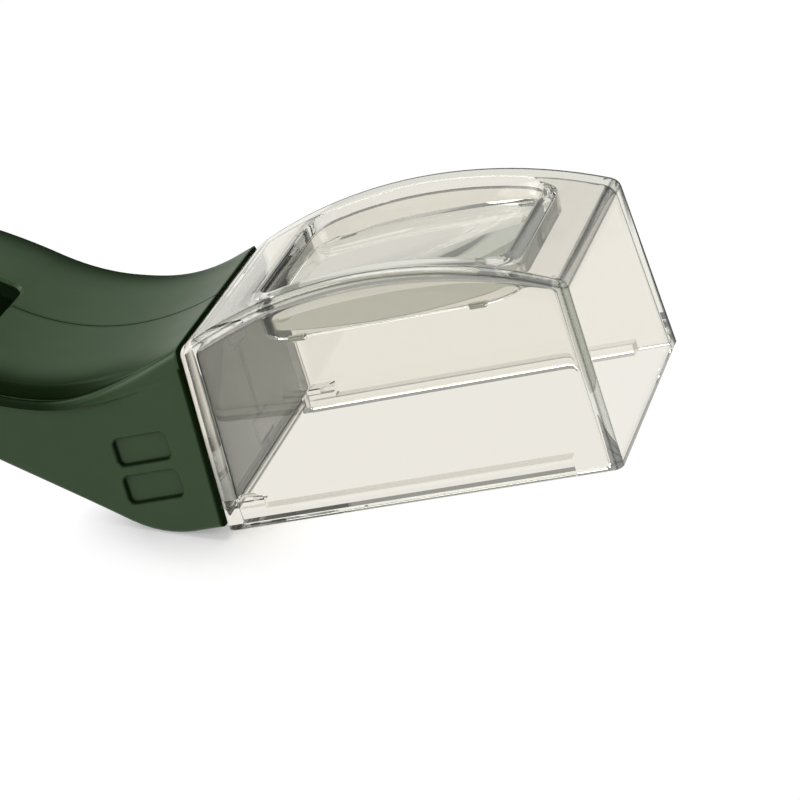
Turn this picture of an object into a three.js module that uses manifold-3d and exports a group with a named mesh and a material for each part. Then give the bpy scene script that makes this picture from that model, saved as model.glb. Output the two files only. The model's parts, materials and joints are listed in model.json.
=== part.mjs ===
// Handheld bug viewer: a clear chamber with an open bottom and a magnifying lens set in its arched
// top, on an S-curved moulded handle. A thumb slide on the handle pushes a flexible trap door
// across the bottom of the chamber.
// Millimetres, +Z up. The tool is drawn level on its chamber's rim: X runs along it with the
// chamber forwards, Y across it, and X = 0 is the foot of the joint between handle and chamber.
// At the end it is tipped back onto its belly and tail, the way it lies on a table.
import * as THREE from "three";
import { mergeVertices, toCreasedNormals } from "three/addons/utils/BufferGeometryUtils.js";
import Module from "manifold-3d";

const wasm = await Module();
wasm.setup();

const RAD = Math.PI / 180;

// Chamber
const chamberLength = 75;
const chamberHalfWidth = 26.5;
const chamberWall = 2.5;
const sideDraft = 4.1 * RAD;
const frontDraft = 2 * RAD;
const jointLean = 2 * RAD;
const archRadius = 87;
const archPeakX = 37;
const archPeakZ = 42.6;
const edgeRadius = 1.4;
const innerEdgeRadius = 1;

// Lens and the well that it sits in
const lensWellX0 = 16.5;
const lensWellX1 = 62.3;
const lensWellHalfWidth = 18.3;
const lensWellCorner = 4.5;
const wellWall = 1.5;
const wellBottomZ = 32;
const lensSurfaceRadius = 150;
const lensMidZ = 34.6;
const lensRimThickness = 2;
const lensTabOffset = 17;
const lensTabWidth = 3.2;
const lensTabReach = 0.8;
const lensTabThickness = 0.9;

// Anchor lugs that hold the chamber to the handle
const anchorNeck = 4;
const anchorHead = 6.5;
const anchorHeadLength = 2.5;
const anchorLowZ = 6;
const anchorLowHeight = 5;
const anchorHighZ = 26.6;
const anchorHighHeight = 3.6;

// Trap door
const doorHalfWidth = 22;
const doorThickness = 0.6;
const doorTravel = 70;
const doorZ = 3.3;
const doorBendStartX = -4;
const doorBendRadius = 20;
const tongueHalfWidth = 7;
const lipLength = 3;
const lipFlange = 0.6;
const lipHalfWidth = 20.6;
const railBottomZ = 0.4;
const railLength = 63.5;
const railOverlap = 0.6;
const lugLength = 5.5;
const lugHeight = 5.2;

// Handle
const handleWall = 1.8;
const plateThickness = 2.5;
const seamGap = 0.3;
const bellyZ = 0.8;
const bellyX = -6;
const bellyRadius = 19.5;
const saddleX = -15.5;
const saddleZ = 32.7;
const saddleRadius = 40;
const crownJointRise = 0.5;
const crownRadius = 115;
const crownStart = 37 * RAD;
const neckThickness = 15;
const palmThickness = 20;
const palmFront = 14 * RAD;
const taperStart = 27 * RAD;
const tailBehindSlot = 19;
const tailRadius = 7.6;
const gripHalfWidth = 24.4;
const gripSpread = 1.8;
const spreadFrom = 0.25;
const tailHalfWidth = 19;
const tailPlanRadius = 11;
const bellyEdgeRadius = 1;

// Fender roll along each side of the crown
const lipHeightFront = 3.8;
const lipHeightRear = 4.9;
const lipFlare = 2;
const lipUndercut = 1.5;
const creaseDepthRear = 3.3;
const creaseDepthFront = 0.15;
const fenderRadiusFront = 1.3;
const fenderRadiusRear = 1.4;
const creaseWidth = 0.3;
const shoulderRadiusFront = 4.5;
const shoulderRadiusRear = 1.1;
const crownCamber = 0.3;
const creaseFullAt = 0.62;

// Recesses in the right side
const recessDepth = 0.8;
const recessCorner = 1.1;
const recesses = [
  { x0: -16.5, x1: -6.1, z0: 15.5, z1: 20.8 },
  { x0: -16.8, x1: -6, z0: 8.1, z1: 13.5 },
];

// Thumb slide
const slotFrontX = -40;
const slotHalfWidth = 7.5;
const slotCorner = 2;
const slotBevel = 0.8;
const doorDepth = 9;
const slideNeckHalfLength = 7.2;
const slideNeckHalfWidth = 6.9;
const wingHalfWidth = 10.7;
const wingHalfLength = 10;
const wingThickness = 2.2;
const wingCorner = 1.5;
const carriageHalfWidth = 7;
const carriageHalfLength = 8.5;
const trackWall = 1.4;
const trackFlange = 1.4;
const trackLap = 1.5;
const clampThickness = 1.8;
const buttonHalfLength = 12;
const buttonHalfWidth = 9;
const buttonHeight = 4.2;
const buttonEdge = 1.6;
const ridgeCount = 5;
const ridgePitch = 3.4;
const ridgeRadius = 0.8;
const leafThickness = 0.4;
const leafHalfLength = 7;
const leafBow = 1.3;
const notchDepth = 0.8;
const notchHalfLength = 2.6;

// Fasteners
const screwShank = 1;
const screwHead = 2.1;
const screwHeadHeight = 1.5;
const screwRecess = 0.7;
const screwSeatDepth = 3.8;
const screwReach = 12;
const bossRadius = 2.9;
const frontScrewX = -11.5;
const frontScrewLowZ = 12;
const frontScrewHighZ = 26;
const bendScrewX = -27;
const palmScrewFront = 11 * RAD;
const tailScrewInset = 6.4;
const slideScrewOffset = 4.6;
const slideScrewHeadHeight = 1.1;

// Clearances
const gap = 0.3;
const holeGap = 0.3;
const slotGap = 0.4;

// Colours and finishes
const greenPlastic = new THREE.MeshStandardMaterial({ color: 0x3b4e38, roughness: 0.45, metalness: 0 });
const darkPlastic = new THREE.MeshStandardMaterial({ color: 0x20261f, roughness: 0.5, metalness: 0 });
const clearPlastic = new THREE.MeshStandardMaterial({
  color: 0xe9e6dc,
  roughness: 0.06,
  metalness: 0,
  transparent: true,
  opacity: 0.35,
});
const lensPlastic = new THREE.MeshStandardMaterial({
  color: 0xe4e8e0,
  roughness: 0.03,
  metalness: 0,
  transparent: true,
  opacity: 0.3,
});
const steel = new THREE.MeshStandardMaterial({ color: 0xb9bcbe, roughness: 0.3, metalness: 0.9 });

// Numbers
const mix = (a, b, t) => a + (b - a) * t;
const clamp01 = (t) => Math.min(1, Math.max(0, t));
const smooth = (t) => clamp01(t) ** 2 * (3 - 2 * clamp01(t));
const steps = (n) => Array.from({ length: n + 1 }, (_, i) => i / n);

// Angle, from the +Z direction towards +X, of the normal at which a straight run meets two round
// ones. (vx, vz) joins their centres, and reach is the sum or difference of their radii.
function tangentAngle(vx, vz, reach) {
  return Math.atan2(vx, vz) - Math.acos(reach / Math.hypot(vx, vz));
}

// Solids
function toSolid(geometry) {
  const bare = geometry.clone();
  bare.deleteAttribute("normal");
  bare.deleteAttribute("uv");
  const merged = mergeVertices(bare, 1e-4);
  const index = merged.index.array;
  const kept = [];
  for (let i = 0; i < index.length; i += 3) {
    const [a, b, c] = [index[i], index[i + 1], index[i + 2]];
    if (a !== b && b !== c && c !== a) kept.push(a, b, c);
  }
  const build = (triVerts) =>
    new wasm.Manifold(
      new wasm.Mesh({
        numProp: 3,
        vertProperties: merged.attributes.position.array,
        triVerts: new Uint32Array(triVerts),
      }),
    );
  const solid = build(kept);
  if (solid.volume() > 0) return solid;
  for (let i = 0; i < kept.length; i += 3) [kept[i], kept[i + 1]] = [kept[i + 1], kept[i]];
  return build(kept);
}

// Triangles over a closed loop of points that lie near one plane.
function capOf(ring) {
  const normal = new THREE.Vector3();
  ring.forEach(([x, y, z], i) => {
    const [u, v, w] = ring[(i + 1) % ring.length];
    normal.x += (y - v) * (z + w);
    normal.y += (z - w) * (x + u);
    normal.z += (x - u) * (y + v);
  });
  const size = [Math.abs(normal.x), Math.abs(normal.y), Math.abs(normal.z)];
  const drop = size.indexOf(Math.max(...size));
  const flat = ring.map((p) => {
    const q = p.filter((_, k) => k !== drop);
    return new THREE.Vector2(q[0], q[1]);
  });
  return THREE.ShapeUtils.triangulateShape(flat, []);
}

// Triangles over a loop whose second half mirrors its first, as strips between the halves.
function stripCap(ring) {
  const n = ring.length;
  const faces = [];
  for (let i = 0; i < n / 2 - 1; i++) {
    faces.push([i, i + 1, n - 1 - i], [i + 1, n - 2 - i, n - 1 - i]);
  }
  return faces;
}

// A solid through a row of closed loops with equal numbers of points.
function loft(rings, cap = capOf) {
  const n = rings[0].length;
  const last = (rings.length - 1) * n;
  const faces = [];
  for (let r = 0; r < last; r += n) {
    for (let i = 0; i < n; i++) {
      const j = (i + 1) % n;
      faces.push(r + i, r + j, r + n + i, r + j, r + n + j, r + n + i);
    }
  }
  for (const [a, b, c] of cap(rings[0])) faces.push(a, c, b);
  for (const [a, b, c] of cap(rings[rings.length - 1])) faces.push(last + a, last + b, last + c);
  const area = rings[0].reduce((sum, p, i) => {
    const q = rings[0][(i + 1) % n];
    const r = rings[1][i];
    const cross = new THREE.Vector3(...q).sub(new THREE.Vector3(...p));
    cross.cross(new THREE.Vector3(...r).sub(new THREE.Vector3(...p)));
    return sum + cross.length();
  }, 0);
  if (!Number.isFinite(area)) throw new Error("a loop holds a point that is not a number");
  const geometry = new THREE.BufferGeometry();
  geometry.setAttribute("position", new THREE.Float32BufferAttribute(rings.flat(2), 3));
  geometry.setIndex(orientCaps(rings, faces, n));
  return toSolid(geometry);
}

// The caps' triangles come in the order of the outline that they fill, which may run either way
// round, so each is turned to share its edges with the side faces.
function orientCaps(rings, faces, n) {
  const sideCount = (rings.length - 1) * n * 6;
  const edges = new Set();
  for (let i = 0; i < sideCount; i += 3) {
    for (let k = 0; k < 3; k++) edges.add(faces[i + k] + ">" + faces[i + ((k + 1) % 3)]);
  }
  const turned = faces.slice(0, sideCount);
  const perCap = (faces.length - sideCount) / 2;
  for (const start of [sideCount, sideCount + perCap]) {
    const part = faces.slice(start, start + perCap);
    const clash = part.some((a, i) => edges.has(a + ">" + part[i % 3 === 2 ? i - 2 : i + 1]));
    for (let i = 0; i < part.length; i += 3) {
      turned.push(part[i], part[i + (clash ? 2 : 1)], part[i + (clash ? 1 : 2)]);
    }
  }
  return turned;
}

const sum = (solids) => solids.reduce((a, b) => a.add(b));
const cutAll = (solid, cuts) => cuts.reduce((a, b) => a.subtract(b), solid);

function box(x0, x1, y0, y1, z0, z1) {
  const geometry = new THREE.BoxGeometry(x1 - x0, y1 - y0, z1 - z0);
  geometry.translate((x0 + x1) / 2, (y0 + y1) / 2, (z0 + z1) / 2);
  return toSolid(geometry);
}

function rodAlongY(x, z, y0, y1, radius, sides = 12) {
  const geometry = new THREE.CylinderGeometry(radius, radius, y1 - y0, sides);
  geometry.translate(x, (y0 + y1) / 2, z);
  return toSolid(geometry);
}

function rodAlongZ(x, y, z0, z1, radius, sides = 12) {
  const geometry = new THREE.CylinderGeometry(radius, radius, z1 - z0, sides);
  geometry.rotateX(Math.PI / 2);
  geometry.translate(x, y, (z0 + z1) / 2);
  return toSolid(geometry);
}

// A rounded rectangle as [u, v] points. Its second half mirrors its first in v, and each long side
// has its own number of steps, for a surface that follows a curve.
function roundedRectangle(u0, u1, halfV, corner, sideSteps = 1, cornerSteps = 3) {
  const half = [];
  for (const t of steps(cornerSteps)) {
    const a = (Math.PI / 2) * t;
    half.push([u0 + corner * (1 - Math.cos(a)), -halfV + corner * (1 - Math.sin(a))]);
  }
  for (const t of steps(sideSteps).slice(1, -1)) {
    half.push([mix(u0 + corner, u1 - corner, t), -halfV]);
  }
  for (const t of steps(cornerSteps)) {
    const a = (Math.PI / 2) * t;
    half.push([u1 - corner * (1 - Math.sin(a)), -halfV + corner * (1 - Math.cos(a))]);
  }
  return [...half, ...half.toReversed().map(([u, v]) => [u, -v])];
}

// A polygon of [y, radius] points swept round an axis along Y through (cx, cz).
function arcSweep(profile, from, to, count, cx = 0, cz = 0) {
  const rings = steps(count).map((t) => {
    const a = mix(from, to, t);
    return profile(a).map(([y, r]) => [cx + r * Math.sin(a), y, cz + r * Math.cos(a)]);
  });
  return loft(rings);
}

// Chamber shape
const archZ = (x) => archPeakZ - archRadius + Math.sqrt(archRadius ** 2 - (x - archPeakX) ** 2);
const jointX = (z) => z * Math.tan(jointLean);
const frontX = (z) => chamberLength - z * Math.tan(frontDraft);
const wallY = (z) => chamberHalfWidth - z * Math.tan(sideDraft);

// The chamber's outline at height z, drawn in by inset, with its corners rounded. The eased amount
// draws it in further where the top edge rounds over.
function chamberOutline(heightAt, inset, radius, eased) {
  const sideSteps = 16;
  const at = (z) => roundedRectangle(
    jointX(z) + inset + eased,
    frontX(z) - inset - eased,
    wallY(z) - inset - eased,
    Math.max(radius - eased, 0.02),
    sideSteps,
    3,
  );
  let outline = at(archPeakZ - chamberWall);
  for (let pass = 0; pass < 3; pass++) {
    outline = outline.map((_, i, all) => at(heightAt(all[i][0]))[i]);
  }
  return outline.map(([x, y]) => [x, y, heightAt(x)]);
}

function chamberBlock(inset, radius, bottomZ) {
  const topAt = (lower) => (x) => archZ(x) - inset - lower;
  const eases = [0, 30, 60, 90].map((d) => d * RAD);
  const rings = [chamberOutline(() => bottomZ, inset, radius, 0)];
  for (const a of eases) {
    rings.push(chamberOutline(topAt(radius * (1 - Math.sin(a))), inset, radius, radius * (1 - Math.cos(a))));
  }
  return loft(rings, stripCap);
}

// A prism with the outline of the lens well, drawn out by grow, up to a top that follows the arch.
function wellPrism(grow, bottomZ, topAt) {
  const outline = roundedRectangle(
    lensWellX0 - grow,
    lensWellX1 + grow,
    lensWellHalfWidth + grow,
    lensWellCorner + grow,
    10,
    5,
  );
  const rings = [outline.map(([x, y]) => [x, y, bottomZ]), outline.map(([x, y]) => [x, y, topAt(x)])];
  return loft(rings, stripCap);
}

// Lens shape
const lensCentreX = (lensWellX0 + lensWellX1) / 2;
const lensHalfLength = (lensWellX1 - lensWellX0) / 2 - gap;
const lensHalfWidth = lensWellHalfWidth - gap;
const lensCorner = lensWellCorner - gap;
const lensCornerReach = Math.hypot(lensHalfLength - lensCorner, lensHalfWidth - lensCorner) + lensCorner;
const sagAt = (d) => lensSurfaceRadius - Math.sqrt(lensSurfaceRadius ** 2 - d ** 2);
const lensHalfThickness = (d) => lensRimThickness / 2 + sagAt(lensCornerReach) - sagAt(d);

function makeLens() {
  const outline = roundedRectangle(-lensHalfLength, lensHalfLength, lensHalfWidth, lensCorner, 10, 4);
  const ringAt = (scale, side) => outline.map(([u, v]) => {
    const [x, y] = [u * scale, v * scale];
    return [lensCentreX + x, y, lensMidZ + side * lensHalfThickness(Math.hypot(x, y))];
  });
  const scales = [0.02, 0.25, 0.5, 0.75, 1];
  return loft([
    ...scales.map((s) => ringAt(s, -1)),
    ...scales.toReversed().map((s) => ringAt(s, 1)),
  ]);
}

// Small hooks under the lens, on the long walls of its well
function lensTabs() {
  const tabs = [];
  const toe = lensWellHalfWidth - lensTabReach - gap;
  const footZ = lensMidZ - lensHalfThickness(Math.hypot(lensTabOffset - lensTabWidth / 2, toe)) - gap;
  for (const end of [-1, 1]) {
    for (const side of [-1, 1]) {
      const x0 = lensCentreX + end * lensTabOffset - lensTabWidth / 2;
      const x1 = x0 + lensTabWidth;
      const ySpan = (a, b) => [Math.min(side * a, side * b), Math.max(side * a, side * b)];
      const legY = ySpan(lensWellHalfWidth, lensWellHalfWidth + wellWall);
      const toeY = ySpan(toe, lensWellHalfWidth + wellWall);
      tabs.push(box(x0, x1, ...legY, footZ - lensTabThickness, wellBottomZ + wellWall / 2));
      tabs.push(box(x0, x1, ...toeY, footZ - lensTabThickness, footZ));
    }
  }
  return tabs;
}

// Door shape: its route from the joint back through the handle
const crownJointZ = archZ(jointX(archZ(0)));
const saddleCentreZ = saddleZ + saddleRadius;
const crownX = saddleX - (saddleRadius + crownRadius) * Math.sin(crownStart);
const crownZ = saddleCentreZ - (saddleRadius + crownRadius) * Math.cos(crownStart);
const doorRadius = crownRadius - doorDepth;
const bendCentreZ = doorZ + doorBendRadius;
const bendAngle = tangentAngle(doorBendStartX - crownX, bendCentreZ - crownZ, doorBendRadius + doorRadius);
const flatRun = -doorBendStartX;
const bendRun = doorBendRadius * bendAngle;
const straightRun =
  Math.hypot(doorBendStartX - crownX, bendCentreZ - crownZ) *
  Math.sin(Math.atan2(doorBendStartX - crownX, bendCentreZ - crownZ) - bendAngle);
const arcStart = flatRun + bendRun + straightRun;

// The door's middle at distance s back from the joint, as [x, z, slope angle].
function doorRoute(s) {
  if (s <= flatRun) return [-s, doorZ, 0];
  if (s <= flatRun + bendRun) {
    const a = (s - flatRun) / doorBendRadius;
    return [doorBendStartX - doorBendRadius * Math.sin(a), bendCentreZ - doorBendRadius * Math.cos(a), a];
  }
  if (s <= arcStart) {
    const d = s - flatRun - bendRun;
    return [
      doorBendStartX - doorBendRadius * Math.sin(bendAngle) - d * Math.cos(bendAngle),
      bendCentreZ - doorBendRadius * Math.cos(bendAngle) + d * Math.sin(bendAngle),
      bendAngle,
    ];
  }
  const a = bendAngle - (s - arcStart) / doorRadius;
  return [crownX + doorRadius * Math.sin(a), crownZ + doorRadius * Math.cos(a), a];
}

// A strip that follows the door's route between two offsets from its middle.
function routeStrip(stations, low, high, spanAt) {
  const rings = stations.map((s) => {
    const [x, z, a] = doorRoute(s);
    const [y0, y1] = spanAt(s);
    const point = (y, h) => [x + h * Math.sin(a), y, z + h * Math.cos(a)];
    return [point(y0, low), point(y1, low), point(y1, high), point(y0, high)];
  });
  return loft(rings);
}

function routeStations(from, to, bendSteps, arcSteps) {
  const marks = [
    from,
    ...steps(bendSteps).map((t) => flatRun + bendRun * t),
    ...steps(arcSteps).map((t) => mix(arcStart, to, t)),
  ];
  return marks.filter((s) => s >= from && s <= to);
}

// Thumb slide places, as angles round the crown's centre
const slotFront = Math.asin((slotFrontX - crownX) / crownRadius);
const slideClosed = slotFront - (slideNeckHalfLength + slotGap) / crownRadius;
const slideRest = slideClosed - doorTravel / doorRadius;
const slotRear = slideRest - (slideNeckHalfLength + slotGap) / crownRadius;
const tailAngle = slotRear - tailBehindSlot / crownRadius;
const palmRear = slideRest;
const wingTop = crownRadius - handleWall - crownCamber - gap;
const wingBottom = wingTop - wingThickness;
const trackTop = wingBottom - gap;
const trackBottom = trackTop - trackFlange;
const flangeInner = wingHalfWidth - trackLap;
const trackInner = wingHalfWidth + gap;

const lipFrontX = chamberWall - 0.4;
const doorFrontX = lipFrontX - lipFlange - gap;
const doorRearS = doorTravel + flatRun - 2;
const tongueEndS = arcStart + doorRadius * (bendAngle - slideRest) + carriageHalfLength - 1;

function makeDoor() {
  const corner = 3;
  const wideEnd = doorRearS;
  const stations = [-doorFrontX, ...routeStations(0.5, wideEnd - corner, 8, 8)];
  const rounding = steps(3).slice(1).map((t) => wideEnd - corner + corner * Math.sin((Math.PI / 2) * t));
  const tongue = steps(12).map((t) => mix(wideEnd + 0.6, tongueEndS, t));
  const halfWidthAt = (s) => {
    if (s > wideEnd + 0.3) return tongueHalfWidth;
    const over = Math.max(0, s - (wideEnd - corner));
    return doorHalfWidth - corner + Math.sqrt(Math.max(0, corner ** 2 - over ** 2));
  };
  const strip = routeStrip(
    [...stations, ...rounding, ...tongue],
    -doorThickness / 2,
    doorThickness / 2,
    (s) => [-halfWidthAt(s), halfWidthAt(s)],
  );
  return cutAll(strip, slideScrewHoles(doorRadius - 3, doorRadius + 3).map(atRest));
}

function makeDoorLip() {
  const inner = doorThickness / 2 + gap;
  const outer = inner + lipFlange;
  const x1 = lipFrontX;
  const x0 = x1 - lipLength;
  const bar = loft([-lipHalfWidth, lipHalfWidth].map((y) => [
    [x0, y, doorZ - outer],
    [x1 - lipFlange / 2, y, doorZ - outer],
    [x1, y, doorZ - outer + lipFlange],
    [x1, y, doorZ + outer - lipFlange],
    [x1 - lipFlange / 2, y, doorZ + outer],
    [x0, y, doorZ + outer],
  ]));
  const past = lipHalfWidth + 1;
  const groove = box(x0 - 1, doorFrontX + gap, -past, past, doorZ - inner, doorZ + inner);
  return bar.subtract(groove);
}

// Anchor lugs on the chamber's back, which the two handle shells close round
const anchorLugs = [
  { z0: anchorLowZ, z1: anchorLowZ + anchorLowHeight },
  { z0: anchorHighZ, z1: anchorHighZ + anchorHighHeight },
];

function anchorLug({ z0, z1 }) {
  const x = jointX(z0);
  const headX = x - gap - plateThickness - gap;
  const neck = box(headX - 0.2, x + chamberWall / 2, -anchorNeck, anchorNeck, z0, z1);
  return neck.add(box(headX - anchorHeadLength, headX, -anchorHead, anchorHead, z0, z1));
}

const lipOuter = doorThickness / 2 + gap + lipFlange;
const mouthLow = doorZ - lipOuter - gap;
const mouthHigh = doorZ + lipOuter + gap;
const mouthHalfWidth = doorHalfWidth + 0.5;

function makeChamber() {
  const shell = chamberBlock(0, edgeRadius, 0).subtract(chamberBlock(chamberWall, innerEdgeRadius, -2));
  const well = wellPrism(wellWall, wellBottomZ, (x) => archZ(x) - chamberWall / 2);
  const wellHole = wellPrism(0, wellBottomZ - 5, () => archPeakZ + 5);
  const railY = [doorHalfWidth - railOverlap, wallY(0) - chamberWall / 2];
  const railTop = doorZ - doorThickness / 2 - gap;
  const backX = chamberWall / 2;
  const fittings = [];
  for (const side of [-1, 1]) {
    const ySpan = side < 0 ? [-railY[1], -railY[0]] : railY;
    fittings.push(box(backX, chamberWall + railLength, ...ySpan, railBottomZ, railTop));
    fittings.push(box(backX, chamberWall + lugLength, ...ySpan, railBottomZ, lugHeight));
  }
  const slit = box(
    -1,
    chamberWall + lugLength + 1,
    -doorHalfWidth - gap,
    doorHalfWidth + gap,
    railTop,
    doorZ + doorThickness / 2 + gap,
  );
  const mouth = box(-1, chamberWall + 1, -mouthHalfWidth, mouthHalfWidth, -1, mouthHigh);
  return cutAll(
    sum([shell, well, ...fittings, ...lensTabs()]),
    [wellHole.subtract(sum(lensTabs())), slit, mouth],
  ).add(sum(anchorLugs.map(anchorLug)));
}

// Handle shape: a row of slanted section planes. Each runs from a point on the underside to a point
// on the crown.
const crownPoint = (a, depth = 0) => [
  crownX + (crownRadius - depth) * Math.sin(a),
  crownZ + (crownRadius - depth) * Math.cos(a),
];
const bellyCentreZ = bellyZ + bellyRadius;
const neckFoot = crownPoint(crownStart, neckThickness);
const bellyAngle = tangentAngle(bellyX - neckFoot[0], bellyCentreZ - neckFoot[1], bellyRadius);
const saddleRun = jointX(crownJointZ) - gap - saddleX;
const saddleRise = crownJointZ + crownJointRise - saddleZ;
const saddleFrontRadius = (saddleRun ** 2 + saddleRise ** 2) / (2 * saddleRise);
const saddleFrontAngle = Math.asin(saddleRun / saddleFrontRadius);
const tailCentre = crownPoint(tailAngle, tailRadius);

function gripThickness(a) {
  const swell = smooth((crownStart - a) / (crownStart - palmFront));
  const shrink = smooth((palmRear - a) / (palmRear - tailAngle));
  return mix(mix(neckThickness, palmThickness, swell), 2 * tailRadius, shrink);
}

// Half the handle's width at height z. It spreads from the joint to the grip, and is less towards the
// tail, at angle a.
function sideY(z, spread, a = crownStart) {
  const skirt = wallY(z) - gripHalfWidth;
  const blended = gripHalfWidth + (skirt + Math.sqrt(skirt ** 2 + 0.1)) / 2 + gripSpread * spread;
  const taper = smooth((taperStart - a) / (taperStart - tailAngle));
  return blended - (gripHalfWidth - tailHalfWidth) * taper;
}

const spreadAt = (t) => smooth((t - spreadFrom) / (1 - spreadFrom));

function bellySection(t) {
  const top = { front: saddleFrontRadius * saddleFrontAngle, rear: saddleRadius * crownStart };
  const low = { straight: -bellyX - gap, arc: bellyRadius * bellyAngle };
  const bellyEnd = [
    bellyX - bellyRadius * Math.sin(bellyAngle),
    bellyCentreZ - bellyRadius * Math.cos(bellyAngle),
  ];
  low.run = Math.hypot(bellyEnd[0] - neckFoot[0], bellyEnd[1] - neckFoot[1]);
  const topS = t * (top.front + top.rear);
  const lowS = t * (low.straight + low.arc + low.run);
  const saddleArc = (radius, a) => [saddleX + radius * Math.sin(a), saddleZ + radius * (1 - Math.cos(a))];
  const crown = topS > top.front
    ? saddleArc(saddleRadius, -(topS - top.front) / saddleRadius)
    : saddleArc(saddleFrontRadius, saddleFrontAngle - topS / saddleFrontRadius);
  let foot = [-gap - lowS, bellyZ];
  if (lowS > low.straight + low.arc) {
    const k = (lowS - low.straight - low.arc) / low.run;
    foot = [mix(bellyEnd[0], neckFoot[0], k), mix(bellyEnd[1], neckFoot[1], k)];
  } else if (lowS > low.straight) {
    const a = (lowS - low.straight) / bellyRadius;
    foot = [bellyX - bellyRadius * Math.sin(a), bellyCentreZ - bellyRadius * Math.cos(a)];
  }
  const spread = spreadAt(t);
  return section(foot, crown, (z) => sideY(z, spread), smooth(t / creaseFullAt));
}

function section(foot, crown, widthAt, crease) {
  const height = Math.hypot(crown[0] - foot[0], crown[1] - foot[1]);
  const up = [(crown[0] - foot[0]) / height, (crown[1] - foot[1]) / height];
  return {
    height,
    crease,
    halfWidth: (h) => widthAt(foot[1] + up[1] * h),
    place: (y, h) => [foot[0] + up[0] * h, y, foot[1] + up[1] * h],
  };
}

function gripSection(a) {
  return section(crownPoint(a, gripThickness(a)), crownPoint(a), (z) => sideY(z, 1, a), 1);
}

// Past the tail's centre the section shrinks to a rounded end. The angle b runs from 0 to a right
// angle round that end.
function tailSection(b, radius, planRadius) {
  const along = radius * Math.sin(b);
  const half = radius * Math.cos(b);
  const centre = [
    tailCentre[0] - along * Math.cos(tailAngle),
    tailCentre[1] + along * Math.sin(tailAngle),
  ];
  const lift = [half * Math.sin(tailAngle), half * Math.cos(tailAngle)];
  const foot = [centre[0] - lift[0], centre[1] - lift[1]];
  const crown = [centre[0] + lift[0], centre[1] + lift[1]];
  const drawnIn = planRadius * (1 - Math.cos(b));
  return section(foot, crown, (z) => sideY(z, 1, tailAngle) - drawnIn, 1);
}

// The roll's skirt side flares out into a lip, and the lip lies below the crown's edge, behind a crease.
function fender(st) {
  const lipHeight = Math.min(mix(lipHeightFront, lipHeightRear, st.crease), 0.42 * st.height);
  const crease = Math.min(mix(creaseDepthFront, creaseDepthRear, st.crease), 0.26 * st.height);
  const skirtTop = st.height - lipHeight;
  const skirtEnd = skirtTop - Math.min(lipUndercut, 0.12 * st.height);
  const side = st.halfWidth(skirtTop) + lipFlare * st.crease;
  const fenderRadius = mix(fenderRadiusFront, fenderRadiusRear, st.crease);
  const shoulderRadius = mix(shoulderRadiusFront, shoulderRadiusRear, st.crease);
  const valleyY = side - fenderRadius - creaseWidth;
  const crownY = valleyY - shoulderRadius;
  const camber = Math.min(crownCamber * st.crease, crease / 2);
  const lipTop = lipHeight - crease + 0.35 * st.crease;
  return { lipTop, crease, skirtTop, skirtEnd, side, fenderRadius, shoulderRadius, valleyY, crownY, camber };
}

const arcSteps = [30, 60, 90].map((d) => d * RAD);

function outerHalf(st) {
  const f = fender(st);
  const top = st.height;
  const edge = Math.min(bellyEdgeRadius, 0.3 * top);
  const foot = st.halfWidth(0) - edge;
  const crownAt = (k) => [f.crownY * k, top - f.camber * k * k];
  return [
    [seamGap / 2, 0],
    [foot, 0],
    ...arcSteps.map((a) => [foot + edge * Math.sin(a), edge * (1 - Math.cos(a))]),
    [st.halfWidth(f.skirtEnd), f.skirtEnd],
    [f.side, f.skirtTop],
    ...arcSteps.map((a) => [
      f.side - f.fenderRadius * (1 - Math.cos(a)),
      f.skirtTop + f.lipTop * Math.sin(a),
    ]),
    [f.valleyY, top - f.crease],
    ...arcSteps.slice(0, 2).map((a) => [
      f.crownY + f.shoulderRadius * Math.cos(a),
      top - f.crease + (f.crease - f.camber) * Math.sin(a),
    ]),
    crownAt(1),
    crownAt(0.5),
    [seamGap / 2, top],
  ];
}

function innerHalf(st) {
  const f = fender(st);
  const ceiling = st.height - handleWall;
  const side = st.halfWidth(f.skirtTop) - handleWall;
  const foot = st.halfWidth(handleWall) - handleWall;
  const underCrease = Math.max(ceiling - f.crease, handleWall + 1.8);
  return [
    [-1, handleWall],
    [foot - 1, handleWall],
    [foot, handleWall + 1],
    [side, underCrease - 0.6],
    [Math.min(f.valleyY - 0.3, side), underCrease],
    [Math.min(f.crownY, side) - 0.6, Math.max(ceiling - f.camber, underCrease + 0.2)],
    [-1, ceiling],
  ];
}

const sideLoft = (sections, halfOf, side) =>
  loft(sections.map((st) => halfOf(st).map(([y, h]) => st.place(side * y, h))));

const bellySteps = 13;
const gripSteps = 11;
const outerSections = [
  ...steps(bellySteps).map(bellySection),
  ...steps(gripSteps).slice(1).map((t) => gripSection(mix(crownStart, tailAngle, t))),
  ...[30, 52, 70, 84].map((d) => tailSection(d * RAD, tailRadius, tailPlanRadius)),
];

// The hollow starts behind the front plate and ends inside the rounded tail.
function innerSections() {
  const first = bellySection(0);
  const shifted = {
    ...first,
    place: (y, h) => {
      const [x, py, z] = first.place(y, h);
      return [x - plateThickness, py, z];
    },
  };
  const radius = tailRadius - handleWall;
  const growBack = (st) => ({
    ...st,
    height: st.height + 2 * handleWall,
    place: (y, h) => st.place(y, h - handleWall),
  });
  return [
    shifted,
    ...steps(bellySteps).slice(2).map(bellySection),
    ...steps(gripSteps).slice(1).map((t) => gripSection(mix(crownStart, tailAngle, t))),
    ...[30, 55, 72].map((d) => growBack(tailSection(d * RAD, radius, tailPlanRadius))),
  ];
}

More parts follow.
